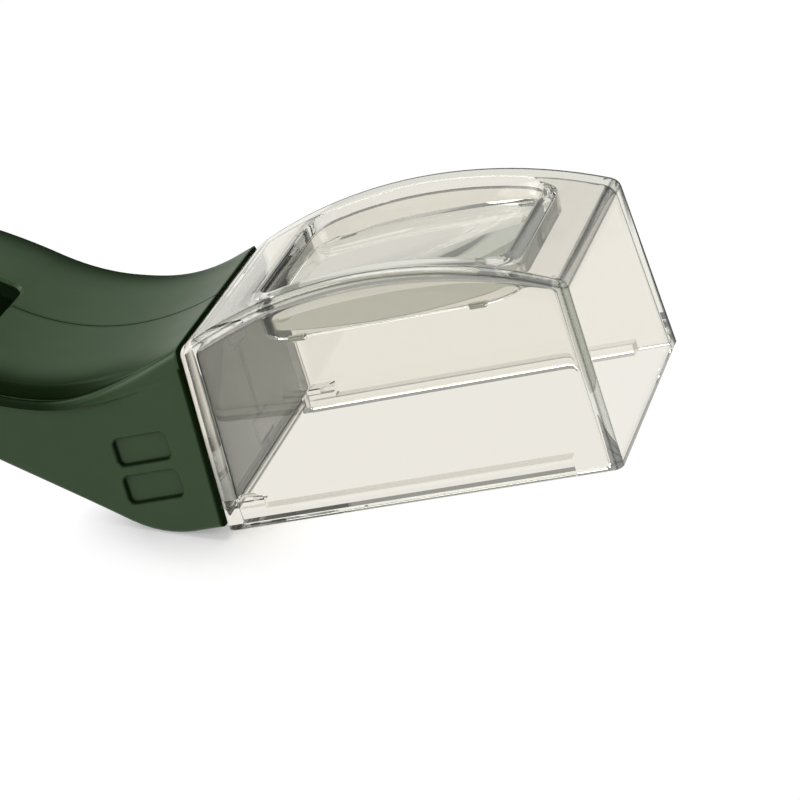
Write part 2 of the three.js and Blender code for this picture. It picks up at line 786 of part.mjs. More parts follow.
// Shell fittings
const palmScrewDepth = palmThickness - handleWall - bossRadius + 0.3;
const gripScrew = (name, angle, depth) => ({ name, at: crownPoint(angle, depth), angle, spread: 1 });
const shellScrews = [
  { name: "shell_screw_front_upper", at: [frontScrewX, frontScrewHighZ], angle: crownStart, spread: 0 },
  { name: "shell_screw_front_lower", at: [frontScrewX, frontScrewLowZ], angle: crownStart, spread: 0 },
  { name: "shell_screw_bend", at: [bendScrewX, frontScrewHighZ], angle: crownStart, spread: spreadAt(0.6) },
  gripScrew("shell_screw_palm_front", palmScrewFront, palmScrewDepth),
  gripScrew("shell_screw_palm_rear", palmRear, palmScrewDepth),
  gripScrew("shell_screw_tail", tailAngle + tailScrewInset / crownRadius, tailRadius),
];
const screwSeatY = ({ at, angle, spread }) => sideY(at[1], spread, angle) - screwSeatDepth;

function trackRib(side) {
  const from = slideRest - (wingHalfLength + 2) / crownRadius;
  const to = slideClosed + (wingHalfLength + 1) / crownRadius;
  const profile = [
    [flangeInner, trackBottom],
    [trackInner + trackWall, trackBottom],
    [trackInner + trackWall, crownRadius - handleWall / 2],
    [trackInner, crownRadius - handleWall / 2],
    [trackInner, trackTop],
    [flangeInner, trackTop],
  ].map(([y, r]) => [side * y, r]);
  return arcSweep(() => profile, from, to, 9, crownX, crownZ);
}

// Notches in the left track's flange, where the detent leaf clicks in at each end of the travel
function detentNotches() {
  return [slideRest, slideClosed].map((a) => {
    const half = notchHalfLength / trackTop;
    const profile = [
      [flangeInner - 1, trackBottom - 1],
      [flangeInner + notchDepth, trackBottom - 1],
      [flangeInner + notchDepth, trackTop + gap / 2],
      [flangeInner - 1, trackTop + gap / 2],
    ];
    return arcSweep(() => profile, a - half, a + half, 1, crownX, crownZ);
  });
}

function guideRibs(side) {
  const stations = routeStations(flatRun - 1, doorRearS, 5, 5);
  const ribDepth = 1.2;
  const near = doorThickness / 2 + gap;
  const span = side < 0
    ? [-chamberHalfWidth, -doorHalfWidth + 1.6]
    : [doorHalfWidth - 1.6, chamberHalfWidth];
  return [
    routeStrip(stations, -near - ribDepth, -near, () => span),
    routeStrip(stations, near, near + ribDepth, () => span),
  ];
}

function slotCut() {
  const halfAt = (a, extra) => {
    const toEnd = Math.min(a - slotRear, slotFront - a) * crownRadius;
    const over = Math.max(0, slotCorner - toEnd);
    return slotHalfWidth - slotCorner + extra + Math.sqrt(Math.max(0, slotCorner ** 2 - over ** 2));
  };
  const ends = [0, 0.15, 0.45, 1].map((k) => (slotCorner * k) / crownRadius);
  const angles = [
    ...ends.map((e) => slotRear + e),
    ...steps(9).slice(1, -1).map((t) => mix(slotRear, slotFront, t)),
    ...ends.toReversed().map((e) => slotFront - e),
  ];
  const rings = angles.map((a) => {
    const profile = [
      [halfAt(a, 0), crownRadius - handleWall - 1],
      [halfAt(a, 0), crownRadius - slotBevel],
      [halfAt(a, slotBevel * 2), crownRadius + slotBevel],
      [-halfAt(a, slotBevel * 2), crownRadius + slotBevel],
      [-halfAt(a, 0), crownRadius - slotBevel],
      [-halfAt(a, 0), crownRadius - handleWall - 1],
    ];
    return profile.map(([y, r]) => [crownX + r * Math.sin(a), y, crownZ + r * Math.cos(a)]);
  });
  return loft(rings);
}

// A shallow pocket whose floor lies parallel to the drafted side wall
function recessCut({ x0, x1, z0, z1 }) {
  const middle = (z0 + z1) / 2;
  const outline = roundedRectangle(x0, x1, (z1 - z0) / 2, recessCorner, 1, 3);
  const ringAt = (depth) => outline.map(([x, v]) => [x, -sideY(middle + v, 0) + depth, middle + v]);
  return loft([ringAt(-2), ringAt(recessDepth)]);
}

function frontPlateCuts() {
  const windows = anchorLugs.map(({ z0, z1 }) =>
    box(-plateThickness - 2, 4, -anchorNeck - gap, anchorNeck + gap, z0 - gap, z1 + gap));
  const mouth = box(-plateThickness - 2, 3, -mouthHalfWidth, mouthHalfWidth, mouthLow, mouthHigh);
  return [...windows, mouth];
}

function makeShell(side) {
  const outer = sideLoft(outerSections, outerHalf, side);
  const hollow = sideLoft(innerSections(), innerHalf, side);
  const past = chamberHalfWidth + gripSpread;
  const toSeam = side < 0 ? [-past, -seamGap / 2] : [seamGap / 2, past];
  const bosses = shellScrews.map(({ at }) => rodAlongY(...at, ...toSeam, bossRadius));
  const fittings = sum([...bosses, trackRib(side), ...guideRibs(side)]).intersect(outer);
  const cuts = [slotCut(), ...frontPlateCuts()];
  for (const screw of shellScrews) {
    const seat = screwSeatY(screw);
    const reach = seat - gap - screwReach - seat - gap;
    cuts.push(rodAlongY(...screw.at, reach, seat + 1, screwShank + holeGap));
    if (side > 0) cuts.push(rodAlongY(...screw.at, seat, past + lipFlare, screwHead + holeGap));
  }
  if (side < 0) cuts.push(...recesses.map(recessCut));
  else cuts.push(...detentNotches());
  return cutAll(outer.subtract(hollow).add(fittings), cuts);
}

// Screws
function crossRecess(depth) {
  const [arm, half] = [screwHead * 0.7, 0.3];
  return box(-arm, arm, -half, half, -depth, 1).add(box(-half, half, -arm, arm, -depth, 1));
}

// A screw with its head's top at z = 0 and its shank downwards
function screwSolid(headHeight, length) {
  const head = rodAlongZ(0, 0, -headHeight, 0, screwHead, 16);
  const shank = rodAlongZ(0, 0, -headHeight - length, -headHeight + 0.2, screwShank, 10);
  return head.add(shank).subtract(crossRecess(Math.min(screwRecess, headHeight * 0.6)));
}

// Thumb slide, drawn with the crown's centre at the origin and the slide on top of it
const atRest = (solid) => solid
  .rotate([0, slideRest / RAD, 0])
  .translate([crownX, 0, crownZ]);

const clampTop = doorRadius - doorThickness / 2 - gap;
const clampBottom = clampTop - clampThickness;
const carriageBottom = doorRadius + doorThickness / 2 + gap;
const buttonBottom = crownRadius + slotGap;
const neckTop = buttonBottom - gap;
const buttonTop = buttonBottom + buttonHeight;
const slideScrewTip = buttonBottom + buttonHeight * 0.6;

function slideScrewHoles(low, high) {
  return [-1, 1].map((end) => rodAlongZ(end * slideScrewOffset, 0, low, high, screwShank + holeGap));
}

// A rounded plate bent round the crown's centre, between loops of [half length, half width, radius].
function bentPlate(loops, corner) {
  const rings = loops.map(([halfLength, halfWidth, radius]) =>
    roundedRectangle(-halfLength, halfLength, halfWidth, Math.min(corner, halfWidth), 6, 3).map(([x, y]) => {
      const a = x / crownRadius;
      return [radius * Math.sin(a), y, radius * Math.cos(a)];
    }));
  return loft(rings, stripCap);
}

const evenPlate = (halfLength, halfWidth, low, high, corner) =>
  bentPlate([[halfLength, halfWidth, low], [halfLength, halfWidth, high]], corner);

function makeCarriage() {
  const block = evenPlate(carriageHalfLength, carriageHalfWidth, carriageBottom, wingTop, 1);
  const wings = evenPlate(wingHalfLength, wingHalfWidth, wingBottom, wingTop, wingCorner);
  const corner = slotCorner - slotGap;
  const neck = evenPlate(slideNeckHalfLength, slideNeckHalfWidth, wingTop - 1, neckTop, corner);
  return cutAll(sum([block, wings, neck]), slideScrewHoles(carriageBottom - 1, neckTop + 1));
}

function makeButton() {
  const ease = (a) => [
    buttonHalfLength - buttonEdge * (1 - Math.cos(a)),
    buttonHalfWidth - buttonEdge * (1 - Math.cos(a)),
    buttonTop - buttonEdge * (1 - Math.sin(a)),
  ];
  const body = bentPlate(
    [[buttonHalfLength, buttonHalfWidth, buttonBottom], ease(0), ...arcSteps.map(ease)],
    5,
  );
  const ridges = [];
  for (let i = 0; i < ridgeCount; i++) {
    const a = ((i - (ridgeCount - 1) / 2) * ridgePitch) / crownRadius;
    const half = buttonHalfWidth - buttonEdge - 1;
    const ridge = rodAlongY(0, buttonTop - ridgeRadius / 4, -half, half, ridgeRadius, 10);
    ridges.push(ridge.rotate([0, a / RAD, 0]));
  }
  return cutAll(sum([body, ...ridges]), slideScrewHoles(buttonBottom - 1, slideScrewTip + gap));
}

function makeClamp() {
  const plate = evenPlate(carriageHalfLength, carriageHalfWidth, clampBottom, clampTop, 2);
  const sinks = [-1, 1].map((end) => rodAlongZ(
    end * slideScrewOffset,
    0,
    clampBottom - 2,
    clampBottom + slideScrewHeadHeight,
    screwHead + holeGap,
  ));
  return cutAll(plate, [...slideScrewHoles(clampBottom - 1, clampTop + 1), ...sinks]);
}

function makeSlideScrew(end) {
  const headTop = clampBottom - 0.1;
  const length = slideScrewTip - headTop - slideScrewHeadHeight + gap;
  return screwSolid(slideScrewHeadHeight - gap / 2, length)
    .rotate([180, 0, 0])
    .translate([end * slideScrewOffset, 0, headTop]);
}

// A bowed spring leaf between the carriage and the left track
function makeLeaf() {
  const rings = steps(10).map((t) => {
    const x = mix(-leafHalfLength, leafHalfLength, t);
    const y = carriageHalfWidth + gap + leafBow * Math.cos((Math.PI / 2) * (2 * t - 1)) ** 2;
    const z = Math.sqrt(trackTop ** 2 - x ** 2);
    const low = z - trackFlange;
    return [[x, y, low], [x, y + leafThickness, low], [x, y + leafThickness, z], [x, y, z]];
  });
  return loft(rings);
}

// Assembly
function addPiece(group, name, solid, material) {
  const mesh = solid.getMesh();
  const geometry = new THREE.BufferGeometry();
  const positions = new Float32Array(mesh.numVert * 3);
  for (let i = 0; i < mesh.numVert; i++) {
    positions.set(mesh.vertProperties.subarray(i * mesh.numProp, i * mesh.numProp + 3), i * 3);
  }
  geometry.setAttribute("position", new THREE.BufferAttribute(positions, 3));
  geometry.setIndex(new THREE.BufferAttribute(mesh.triVerts, 1));
  const piece = new THREE.Mesh(toCreasedNormals(geometry, 35 * RAD), material);
  piece.name = name;
  group.add(piece);
  return piece;
}

const tool = new THREE.Group();
addPiece(tool, "handle_shell_right", makeShell(-1), greenPlastic);
addPiece(tool, "handle_shell_left", makeShell(1), greenPlastic);
addPiece(tool, "viewing_chamber", makeChamber(), clearPlastic);
addPiece(tool, "magnifier_lens", makeLens(), lensPlastic);
addPiece(tool, "trap_door_sheet", makeDoor(), clearPlastic);
addPiece(tool, "door_lip", makeDoorLip(), clearPlastic);
for (const screw of shellScrews) {
  const seat = screwSeatY(screw);
  const piece = addPiece(tool, screw.name, screwSolid(screwHeadHeight, screwReach + seat), steel);
  piece.rotation.x = -Math.PI / 2;
  piece.position.set(screw.at[0], seat + gap + screwHeadHeight, screw.at[1]);
}

const slide = new THREE.Group();
slide.position.set(crownX, 0, crownZ);
slide.rotation.y = slideRest;
addPiece(slide, "thumb_button", makeButton(), greenPlastic);
addPiece(slide, "slider_carriage", makeCarriage(), darkPlastic);
addPiece(slide, "sheet_clamp", makeClamp(), darkPlastic);
addPiece(slide, "slide_screw_front", makeSlideScrew(1), steel);
addPiece(slide, "slide_screw_rear", makeSlideScrew(-1), steel);
addPiece(slide, "detent_leaf", makeLeaf(), steel);
tool.add(slide);

// The table touches the belly and the tail, so the tool tips by the slope of their common tangent.
const tipAngle = tangentAngle(
  bellyX - tailCentre[0],
  bellyCentreZ - tailCentre[1],
  bellyRadius - tailRadius,
);
tool.rotation.y = -tipAngle;
const part = new THREE.Group();
part.add(tool);
part.updateMatrixWorld(true);
const bounds = new THREE.Box3().setFromObject(tool, true);
const middle = bounds.getCenter(new THREE.Vector3());
tool.position.set(-middle.x, -middle.y, -bounds.min.z);

export default part;
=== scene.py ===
# Bug viewer: a clear chamber with a lens on a green curved handle, dressed for rendering.
# Shapes are in millimetres in the tool's own frame: X along the tool with the chamber forwards,
# Y across it, Z up from the chamber's rim, and X = 0 where the handle meets the chamber.
# place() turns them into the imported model's frame, where the tool lies tipped back on a table.
import json
from functools import partialmethod
from math import acos, asin, atan2, copysign, cos, hypot, pi, sin, sqrt, tan

import bmesh
import bpy
from mathutils import Matrix, Vector
from mathutils.kdtree import KDTree
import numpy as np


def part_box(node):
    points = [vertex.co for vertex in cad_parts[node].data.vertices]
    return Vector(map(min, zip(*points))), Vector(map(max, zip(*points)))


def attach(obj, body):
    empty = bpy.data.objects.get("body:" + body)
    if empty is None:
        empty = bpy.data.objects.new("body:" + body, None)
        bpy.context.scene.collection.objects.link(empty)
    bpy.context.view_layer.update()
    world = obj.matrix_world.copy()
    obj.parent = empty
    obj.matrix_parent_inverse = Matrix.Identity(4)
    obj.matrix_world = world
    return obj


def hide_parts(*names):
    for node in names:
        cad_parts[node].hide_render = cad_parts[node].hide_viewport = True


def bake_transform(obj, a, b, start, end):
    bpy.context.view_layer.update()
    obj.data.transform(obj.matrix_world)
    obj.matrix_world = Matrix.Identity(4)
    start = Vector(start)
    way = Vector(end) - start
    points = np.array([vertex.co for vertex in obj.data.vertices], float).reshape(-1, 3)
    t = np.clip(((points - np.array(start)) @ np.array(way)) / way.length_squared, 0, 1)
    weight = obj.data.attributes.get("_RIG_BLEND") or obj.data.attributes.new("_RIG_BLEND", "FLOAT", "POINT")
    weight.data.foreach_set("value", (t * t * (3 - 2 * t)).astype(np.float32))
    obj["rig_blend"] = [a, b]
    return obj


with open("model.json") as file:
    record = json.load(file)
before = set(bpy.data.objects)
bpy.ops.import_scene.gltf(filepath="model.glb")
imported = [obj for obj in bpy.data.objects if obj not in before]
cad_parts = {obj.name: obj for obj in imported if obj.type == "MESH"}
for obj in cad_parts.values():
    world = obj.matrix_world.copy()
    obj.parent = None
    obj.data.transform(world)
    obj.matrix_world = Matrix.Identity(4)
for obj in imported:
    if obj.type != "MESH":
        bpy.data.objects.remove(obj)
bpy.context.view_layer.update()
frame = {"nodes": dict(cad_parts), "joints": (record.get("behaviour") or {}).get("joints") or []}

MM = 0.001
RAD = pi / 180

# Driving sizes, as in the CAD model
CHAMBER_LENGTH, CHAMBER_HALF_WIDTH, CHAMBER_WALL = 75.0, 26.5, 2.5
SIDE_DRAFT, FRONT_DRAFT, JOINT_LEAN = 4.1 * RAD, 2 * RAD, 2 * RAD
ARCH_RADIUS, ARCH_PEAK_X, ARCH_PEAK_Z = 87.0, 37.0, 42.6
EDGE_RADIUS, INNER_EDGE_RADIUS = 1.4, 1.0
WELL_X0, WELL_X1, WELL_HALF_WIDTH, WELL_CORNER = 16.5, 62.3, 18.3, 4.5
WELL_WALL, WELL_BOTTOM = 1.5, 32.0
LENS_RADIUS, LENS_MID_Z, LENS_RIM = 150.0, 34.6, 2.0
LENS_HOOK_OFFSET, LENS_HOOK_WIDTH = 17.0, 3.2
DOOR_HALF_WIDTH, DOOR_THICKNESS, DOOR_Z, DOOR_TRAVEL = 22.0, 0.6, 3.3, 70.0
DOOR_BEND_X, DOOR_BEND_RADIUS, DOOR_DEPTH = -4.0, 20.0, 9.0
TONGUE_HALF_WIDTH = 7.0
RAIL_INNER_Y, RAIL_BOTTOM, RAIL_TOP, RAIL_END = 21.4, 0.4, 2.7, 66.0
LUG_INNER_Y, LUG_END, LUG_TOP, SLIT_TOP = 22.3, 8.0, 5.2, 3.9
MOUTH_HALF_WIDTH, MOUTH_LOW, MOUTH_HIGH = 22.5, 1.8, 4.8
SHELL_WALL, SEAM_GAP, GAP = 1.8, 0.3, 0.3
BELLY_X, BELLY_Z, BELLY_RADIUS = -6.0, 0.84, 19.5
SADDLE_X, SADDLE_Z, SADDLE_RADIUS, CROWN_JOINT_RISE = -15.5, 32.7, 40.0, 0.5
CROWN_RADIUS, CROWN_START = 115.0, 37 * RAD
NECK_THICKNESS, PALM_THICKNESS, PALM_FRONT = 15.0, 20.0, 14 * RAD
TAPER_START, TAIL_RADIUS, TAIL_PLAN_RADIUS, TAIL_BEHIND_SLOT = 27 * RAD, 7.56, 11.0, 19.0
GRIP_HALF_WIDTH, TAIL_HALF_WIDTH, BELLY_EDGE = 24.4, 19.0, 1.0
GRIP_SPREAD, SPREAD_FROM = 1.8, 0.25
LIP_FRONT, LIP_REAR, LIP_FLARE, LIP_UNDERCUT = 3.8, 4.2, 2.0, 0.8
CREASE_FRONT, CREASE_REAR, CREASE_WIDTH, CREASE_FULL = 0.15, 3.3, 0.3, 0.62
FENDER_FRONT, FENDER_REAR, SHOULDER_FRONT, SHOULDER_REAR, CAMBER = 1.3, 1.4, 4.5, 1.1, 0.3
SLOT_FRONT_X, SLOT_HALF_WIDTH, SLOT_CORNER, SLOT_GAP = -40.0, 7.5, 2.0, 0.4
NECK_HALF_LENGTH = 7.2
# Half width, bottom and top of the front plate's windows, for the chamber's anchors and the door
PLATE_WINDOWS = [(4.3, 26.3, 30.5), (4.3, 5.7, 11.3), (MOUTH_HALF_WIDTH, MOUTH_LOW, MOUTH_HIGH)]
ANCHOR_LEVELS = [(6, 11), (26.6, 30.2)]
ANCHOR_NECK, ANCHOR_DEPTH, ANCHOR_NECK_HALF, ANCHOR_HEAD_HALF = 3.2, 5.6, 4.0, 6.5
HOOK_REACH, HOOK_TOP, HOOK_BOTTOM = 0.8, 0.5, 1.4
BROKEN_EDGE, BLOCK_EDGE, TOUCH = 0.15, 0.2, 0.02
# Screws, measured from the outer face of their heads
HEAD_HOLE, SHANK_HOLE, CUP_RADIUS = 2.4, 1.3, 3.0
HEAD_SEAT, HOLE_DEPTH, CUP_TOP, CUP_BOTTOM = 1.75, 1.9, 1.9, 6.0


def mix(a, b, t):
    return a + (b - a) * t


def smooth(t):
    t = min(1.0, max(0.0, t))
    return t * t * (3 - 2 * t)


def steps(n):
    return [i / n for i in range(n + 1)]


def polar(x, z, radius, angle):
    """(x, z) at an angle from straight up, round a centre."""
    return x + radius * sin(angle), z + radius * cos(angle)


def quarter(step):
    """Angles from 0 to a right angle, step degrees apart."""
    return [step * i * RAD for i in range(90 // step + 1)]


# The crown's centre of curvature is the thumb slide's hinge, which ties the two frames together
joints = {j["name"]: j for j in frame["joints"]}
slide_axis = Vector(joints["trap_door_travel"]["axis"])
TIP = atan2(slide_axis.z, slide_axis.x)
ARCS_APART = SADDLE_RADIUS + CROWN_RADIUS
CROWN_X, CROWN_Z = polar(SADDLE_X, SADDLE_Z + SADDLE_RADIUS, -ARCS_APART, CROWN_START)
hinge = Vector(joints["thumb_slide_travel"]["pos_m"])
ORIGIN = hinge - Vector((
    CROWN_X * cos(TIP) - CROWN_Z * sin(TIP),
    0,
    CROWN_X * sin(TIP) + CROWN_Z * cos(TIP),
)) * MM
TURN = Matrix.Rotation(-TIP, 3, "Y")


def place(point):
    """A point in the tool's frame, in millimetres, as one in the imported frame, in metres."""
    return TURN @ (Vector(point) * MM) + ORIGIN


def unplace(point):
    """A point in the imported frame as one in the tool's frame."""
    return TURN.transposed() @ (point - ORIGIN) / MM


# Mesh helpers
WELD = 1e-6


def link(name, data):
    obj = bpy.data.objects.new(name, data)
    bpy.context.collection.objects.link(obj)
    return obj


def to_mesh(name, bm):
    bmesh.ops.recalc_face_normals(bm, faces=bm.faces)
    mesh = bpy.data.meshes.new(name)
    bm.to_mesh(mesh)
    bm.free()
    return mesh


def smooth_but_for(mesh, sharp):
    """Smooth shading, but for edges over this angle in degrees."""
    mesh.shade_smooth()
    mesh.set_sharp_from_angle(angle=sharp * RAD)


def finish_mesh(name, bm, sharp=40):
    bmesh.ops.remove_doubles(bm, verts=bm.verts, dist=WELD)
    bmesh.ops.dissolve_degenerate(bm, edges=bm.edges, dist=WELD)
    mesh = to_mesh(name, bm)
    smooth_but_for(mesh, sharp)
    return link(name, mesh)


def add_skin(bm, rings, wrap=True, loop=False, keep=None, caps=()):
    """Quads between neighbouring rings of points. keep(row, column) leaves cells out."""
    verts = [[bm.verts.new(place(p)) for p in ring] for ring in rings]
    count = len(rings[0])
    rows = range(len(rings)) if loop else range(len(rings) - 1)
    for r in rows:
        for c in range(count if wrap else count - 1):
            if keep and not keep(r, c):
                continue
            a, b = verts[r], verts[(r + 1) % len(rings)]
            d = (c + 1) % count
            bm.faces.new((a[c], a[d], b[d], b[c]))
    for end in caps:
        bm.faces.new(verts[end])
    return verts


def skin(name, rings, sharp=40, **options):
    bm = bmesh.new()
    add_skin(bm, rings, **options)
    return finish_mesh(name, bm, sharp)


def bake(obj, sharp=None):
    """Applies obj's modifiers and removes them."""
    depsgraph = bpy.context.evaluated_depsgraph_get()
    mesh = bpy.data.meshes.new_from_object(obj.evaluated_get(depsgraph))
    obj.modifiers.clear()
    old, obj.data = obj.data, mesh
    bpy.data.meshes.remove(old)
    if sharp:
        smooth_but_for(mesh, sharp)


def radial(angle, depth=0.0):
    """(x, z) on the crown's arc, or at a depth under it."""
    return polar(CROWN_X, CROWN_Z, CROWN_RADIUS - depth, angle)


def tangent_angle(vx, vz, reach):
    """Slope of the line that touches two arcs, from the step between their centres."""
    return atan2(vx, vz) - acos(reach / hypot(vx, vz))


# Places that follow from the driving sizes
DOOR_RADIUS = CROWN_RADIUS - DOOR_DEPTH
SLOT_FRONT = asin((SLOT_FRONT_X - CROWN_X) / CROWN_RADIUS)
SLIDE_CLOSED = SLOT_FRONT - (NECK_HALF_LENGTH + SLOT_GAP) / CROWN_RADIUS
SLIDE_REST = SLIDE_CLOSED - DOOR_TRAVEL / DOOR_RADIUS
SLOT_REAR = SLIDE_REST - (NECK_HALF_LENGTH + SLOT_GAP) / CROWN_RADIUS
TAIL_ANGLE = SLOT_REAR - TAIL_BEHIND_SLOT / CROWN_RADIUS
TAIL_CENTRE = radial(TAIL_ANGLE, TAIL_RADIUS)


def arch_z(x):
    return ARCH_PEAK_Z - ARCH_RADIUS + sqrt(ARCH_RADIUS**2 - (x - ARCH_PEAK_X) ** 2)


def joint_x(z):
    return z * tan(JOINT_LEAN)


def wall_y(z):
    return CHAMBER_HALF_WIDTH - z * tan(SIDE_DRAFT)


# Chamber outline: corners in order round the box, each followed by the straight side after it.
# Marks on the long sides are shares of the side, those on the short sides are half widths.
LONG_MARKS = [0.985, 0.955, 0.922, 0.9195] + [i / 24 for i in range(22, 1, -1)]
LONG_MARKS += [0.0665, 0.064, 0.026, 0.019]
BY_THE_CORNER = 100
SHORT_MARKS = [BY_THE_CORNER, 22.55, 22.5, 20, 15, 10, 5, 0]
SHORT_MARKS += [-y for y in reversed(SHORT_MARKS[:-1])]
CORNER_STEPS = 6
NEAR_END, STRETCHED_HALF = 0.98, 23


def chamber_specs():
    specs = []
    sides = (
        [("long", 1, f, 0) for f in LONG_MARKS],
        [("short", -1, y, 0) for y in SHORT_MARKS],
        [("long", -1, f, 0) for f in reversed(LONG_MARKS)],
        [("short", 1, -y, 0) for y in SHORT_MARKS],
    )
    corners = ((1, 1), (-1, 1), (-1, -1), (1, -1))
    for i, (corner, side) in enumerate(zip(corners, sides)):
        specs += [("corner", *corner, 90 * (i + t) * RAD) for t in steps(CORNER_STEPS)]
        specs += side
    return specs


CHAMBER_SPECS = chamber_specs()


def outline_point(spec, x0, x1, half, radius, stretched=False):
    """(x, y) of one place of the outline on a rounded rectangle. If it is stretched, the short
    sides' marks spread over the whole side."""
    kind, first, second, angle = spec
    if kind == "corner":
        cx = x1 - radius if first > 0 else x0 + radius
        return cx + radius * cos(angle), second * (half - radius) + radius * sin(angle)
    if kind == "long":
        return mix(x0 + radius, x1 - radius, second), first * half
    reach = half - radius
    if abs(second) == BY_THE_CORNER:
        y = copysign((0.99 if stretched else NEAR_END) * reach, second)
    elif stretched:
        y = second / STRETCHED_HALF * reach
    else:
        y = max(-NEAR_END * reach, min(NEAR_END * reach, second))
    return (x1 if first > 0 else x0), y


def stretched_outline(x0, x1, half, radius):
    return [outline_point(spec, x0, x1, half, radius, True) for spec in CHAMBER_SPECS]


def wall_ring(height, inset, radius, eased=0.0, rail_y=None, rail_to=0.0):
    """A ring of the chamber's wall, with its z from height(x). Up to rail_to its sides are drawn
    in to rail_y, for the door's rails and lugs. The back wall's foot stops at the mouth."""
    ring = []
    for spec in CHAMBER_SPECS:
        x = CHAMBER_LENGTH / 2
        for _ in range(3):  # x and z depend on each other
            z = height(x)
            x0 = joint_x(z) + inset + eased
            x1 = CHAMBER_LENGTH - z * tan(FRONT_DRAFT) - inset - eased
            half = wall_y(z) - inset - eased
            x, y = outline_point(spec, x0, x1, half, max(radius - eased, 0.02))
        z = height(x)
        at_back = spec[0] == "short" and spec[1] < 0
        if rail_y and x < rail_to and not at_back:
            y = copysign(min(abs(y), rail_y), y)
        if at_back and abs(spec[2]) <= MOUTH_HALF_WIDTH:
            z = max(z, MOUTH_HIGH)
        ring.append((x, y, z))
    return ring


def well_ring(height, grow):
    """A ring round the lens well, grown all round."""
    box = (WELL_X0 - grow, WELL_X1 + grow, WELL_HALF_WIDTH + grow, WELL_CORNER + grow)
    return [(x, y, height(x)) for x, y in stretched_outline(*box)]


def blend_rings(a, b, height, shares):
    """Rings between two others, on the surface that height gives."""
    rings = []
    for t in shares:
        ring = [(mix(p[0], q[0], t), mix(p[1], q[1], t)) for p, q in zip(a, b)]
        rings.append([(x, y, height(x)) for x, y in ring])
    return rings


WALL_LEVELS, WELL_LEVELS = (8, 16, 24), (36, 34)
TOP_SHARES = (0.08, 0.12, 0.3, 0.5, 0.75)
EDGE_RING = 2 + len(WALL_LEVELS)
WELL_RING = EDGE_RING + len(quarter(15)) + len(TOP_SHARES)


def chamber_rings():
    """The chamber's skin, from its outer foot over top and lens well to its inner foot."""
    soft, lip = 0.25, 0.6
    under = lambda drop: lambda x: arch_z(x) - drop
    level = lambda z: lambda x: z
    ceiling = CHAMBER_WALL
    turns = quarter(15)
    rings = [wall_ring(level(0), soft, EDGE_RADIUS), wall_ring(level(soft), 0, EDGE_RADIUS)]
    rings += [wall_ring(level(z), 0, EDGE_RADIUS) for z in WALL_LEVELS]
    for a in turns:
        drop = EDGE_RADIUS * (1 - sin(a))
        rings.append(wall_ring(under(drop), 0, EDGE_RADIUS, EDGE_RADIUS * (1 - cos(a))))
    brim = well_ring(under(0), lip)
    rings += blend_rings(rings[-1], brim, under(0), TOP_SHARES)
    for a in turns[::2]:
        rings.append(well_ring(under(lip * (1 - cos(a))), lip * (1 - sin(a))))
    rings += [well_ring(level(z), 0) for z in (*WELL_LEVELS, WELL_BOTTOM + soft)]
    rings += [well_ring(level(WELL_BOTTOM), g) for g in (soft, WELL_WALL - soft)]
    rings.append(well_ring(level(WELL_BOTTOM + soft), WELL_WALL))
    for a in turns[::2]:
        grow = WELL_WALL + lip * (1 - cos(a))
        rings.append(well_ring(under(ceiling + lip * (1 - sin(a))), grow))
    inner_top = wall_ring(under(ceiling), CHAMBER_WALL, INNER_EDGE_RADIUS, INNER_EDGE_RADIUS)
    rings += blend_rings(rings[-1], inner_top, under(ceiling), [0.25, 0.5, 0.75])
    for a in reversed(turns[::2]):
        drop = ceiling + INNER_EDGE_RADIUS * (1 - sin(a))
        eased = INNER_EDGE_RADIUS * (1 - cos(a))
        rings.append(wall_ring(under(drop), CHAMBER_WALL, INNER_EDGE_RADIUS, eased))
    inner = lambda z, *rail: wall_ring(level(z), CHAMBER_WALL, INNER_EDGE_RADIUS, 0.0, *rail)
    lug, slit, rail = (RAIL_INNER_Y, LUG_END), (LUG_INNER_Y, LUG_END), (RAIL_INNER_Y, RAIL_END)
    rings += [inner(z) for z in (*reversed(WALL_LEVELS), LUG_TOP)]
    rings += [inner(LUG_TOP - soft, *lug), inner(SLIT_TOP, *lug), inner(SLIT_TOP, *slit)]
    rings += [inner(RAIL_TOP, *slit), inner(RAIL_TOP, *rail), inner(RAIL_BOTTOM, *rail)]
    rings += [inner(RAIL_BOTTOM), inner(soft)]
    rings.append(wall_ring(level(0), CHAMBER_WALL - soft, INNER_EDGE_RADIUS))
    return rings


# Marks for the clear plastic's shader, painted shade and painted light that stand in for what
# its edges show by refraction: darker up to 1, a dark line above 1 and pale below 0
EDGE_SHADE_ACROSS = (0, 1, 0.5, 0.35, 0.5, 1, 0, 0)
PAINTED_LIGHT_MARKS = (0, 0, -0.2, -0.6, -0.9, -0.9)
WELL_END_SHADE, DARK_LINE_MARK = 0.85, 1.9


def painted_edge_mark(spec, r):
    """The mark at one place of ring r: painted shade along the outer rounded edges, most where the
    far ones are seen end on, and painted light on the near end of the back wall."""
    past = r - EDGE_RING
    mark = EDGE_SHADE_ACROSS[past] if past >= 0 else 0
    if spec[:2] == ("long", 1) and past >= 5:
        mark = DARK_LINE_MARK
    turn = round(spec[3] / (90 * RAD / CORNER_STEPS)) % CORNER_STEPS
    if spec[:3] == ("corner", -1, -1) or spec == ("long", -1, LONG_MARKS[-1], 0):
        mark = PAINTED_LIGHT_MARKS[min(r, len(PAINTED_LIGHT_MARKS) - 1)] if turn or spec[0] == "long" else 0
    elif spec[0] == "corner":
        mark = max(mark, EDGE_SHADE_ACROSS[turn])
    if spec[:3] == ("corner", 1, 1) and turn < 3 or spec[:3] == ("short", 1, BY_THE_CORNER):
        mark = DARK_LINE_MARK
    return mark
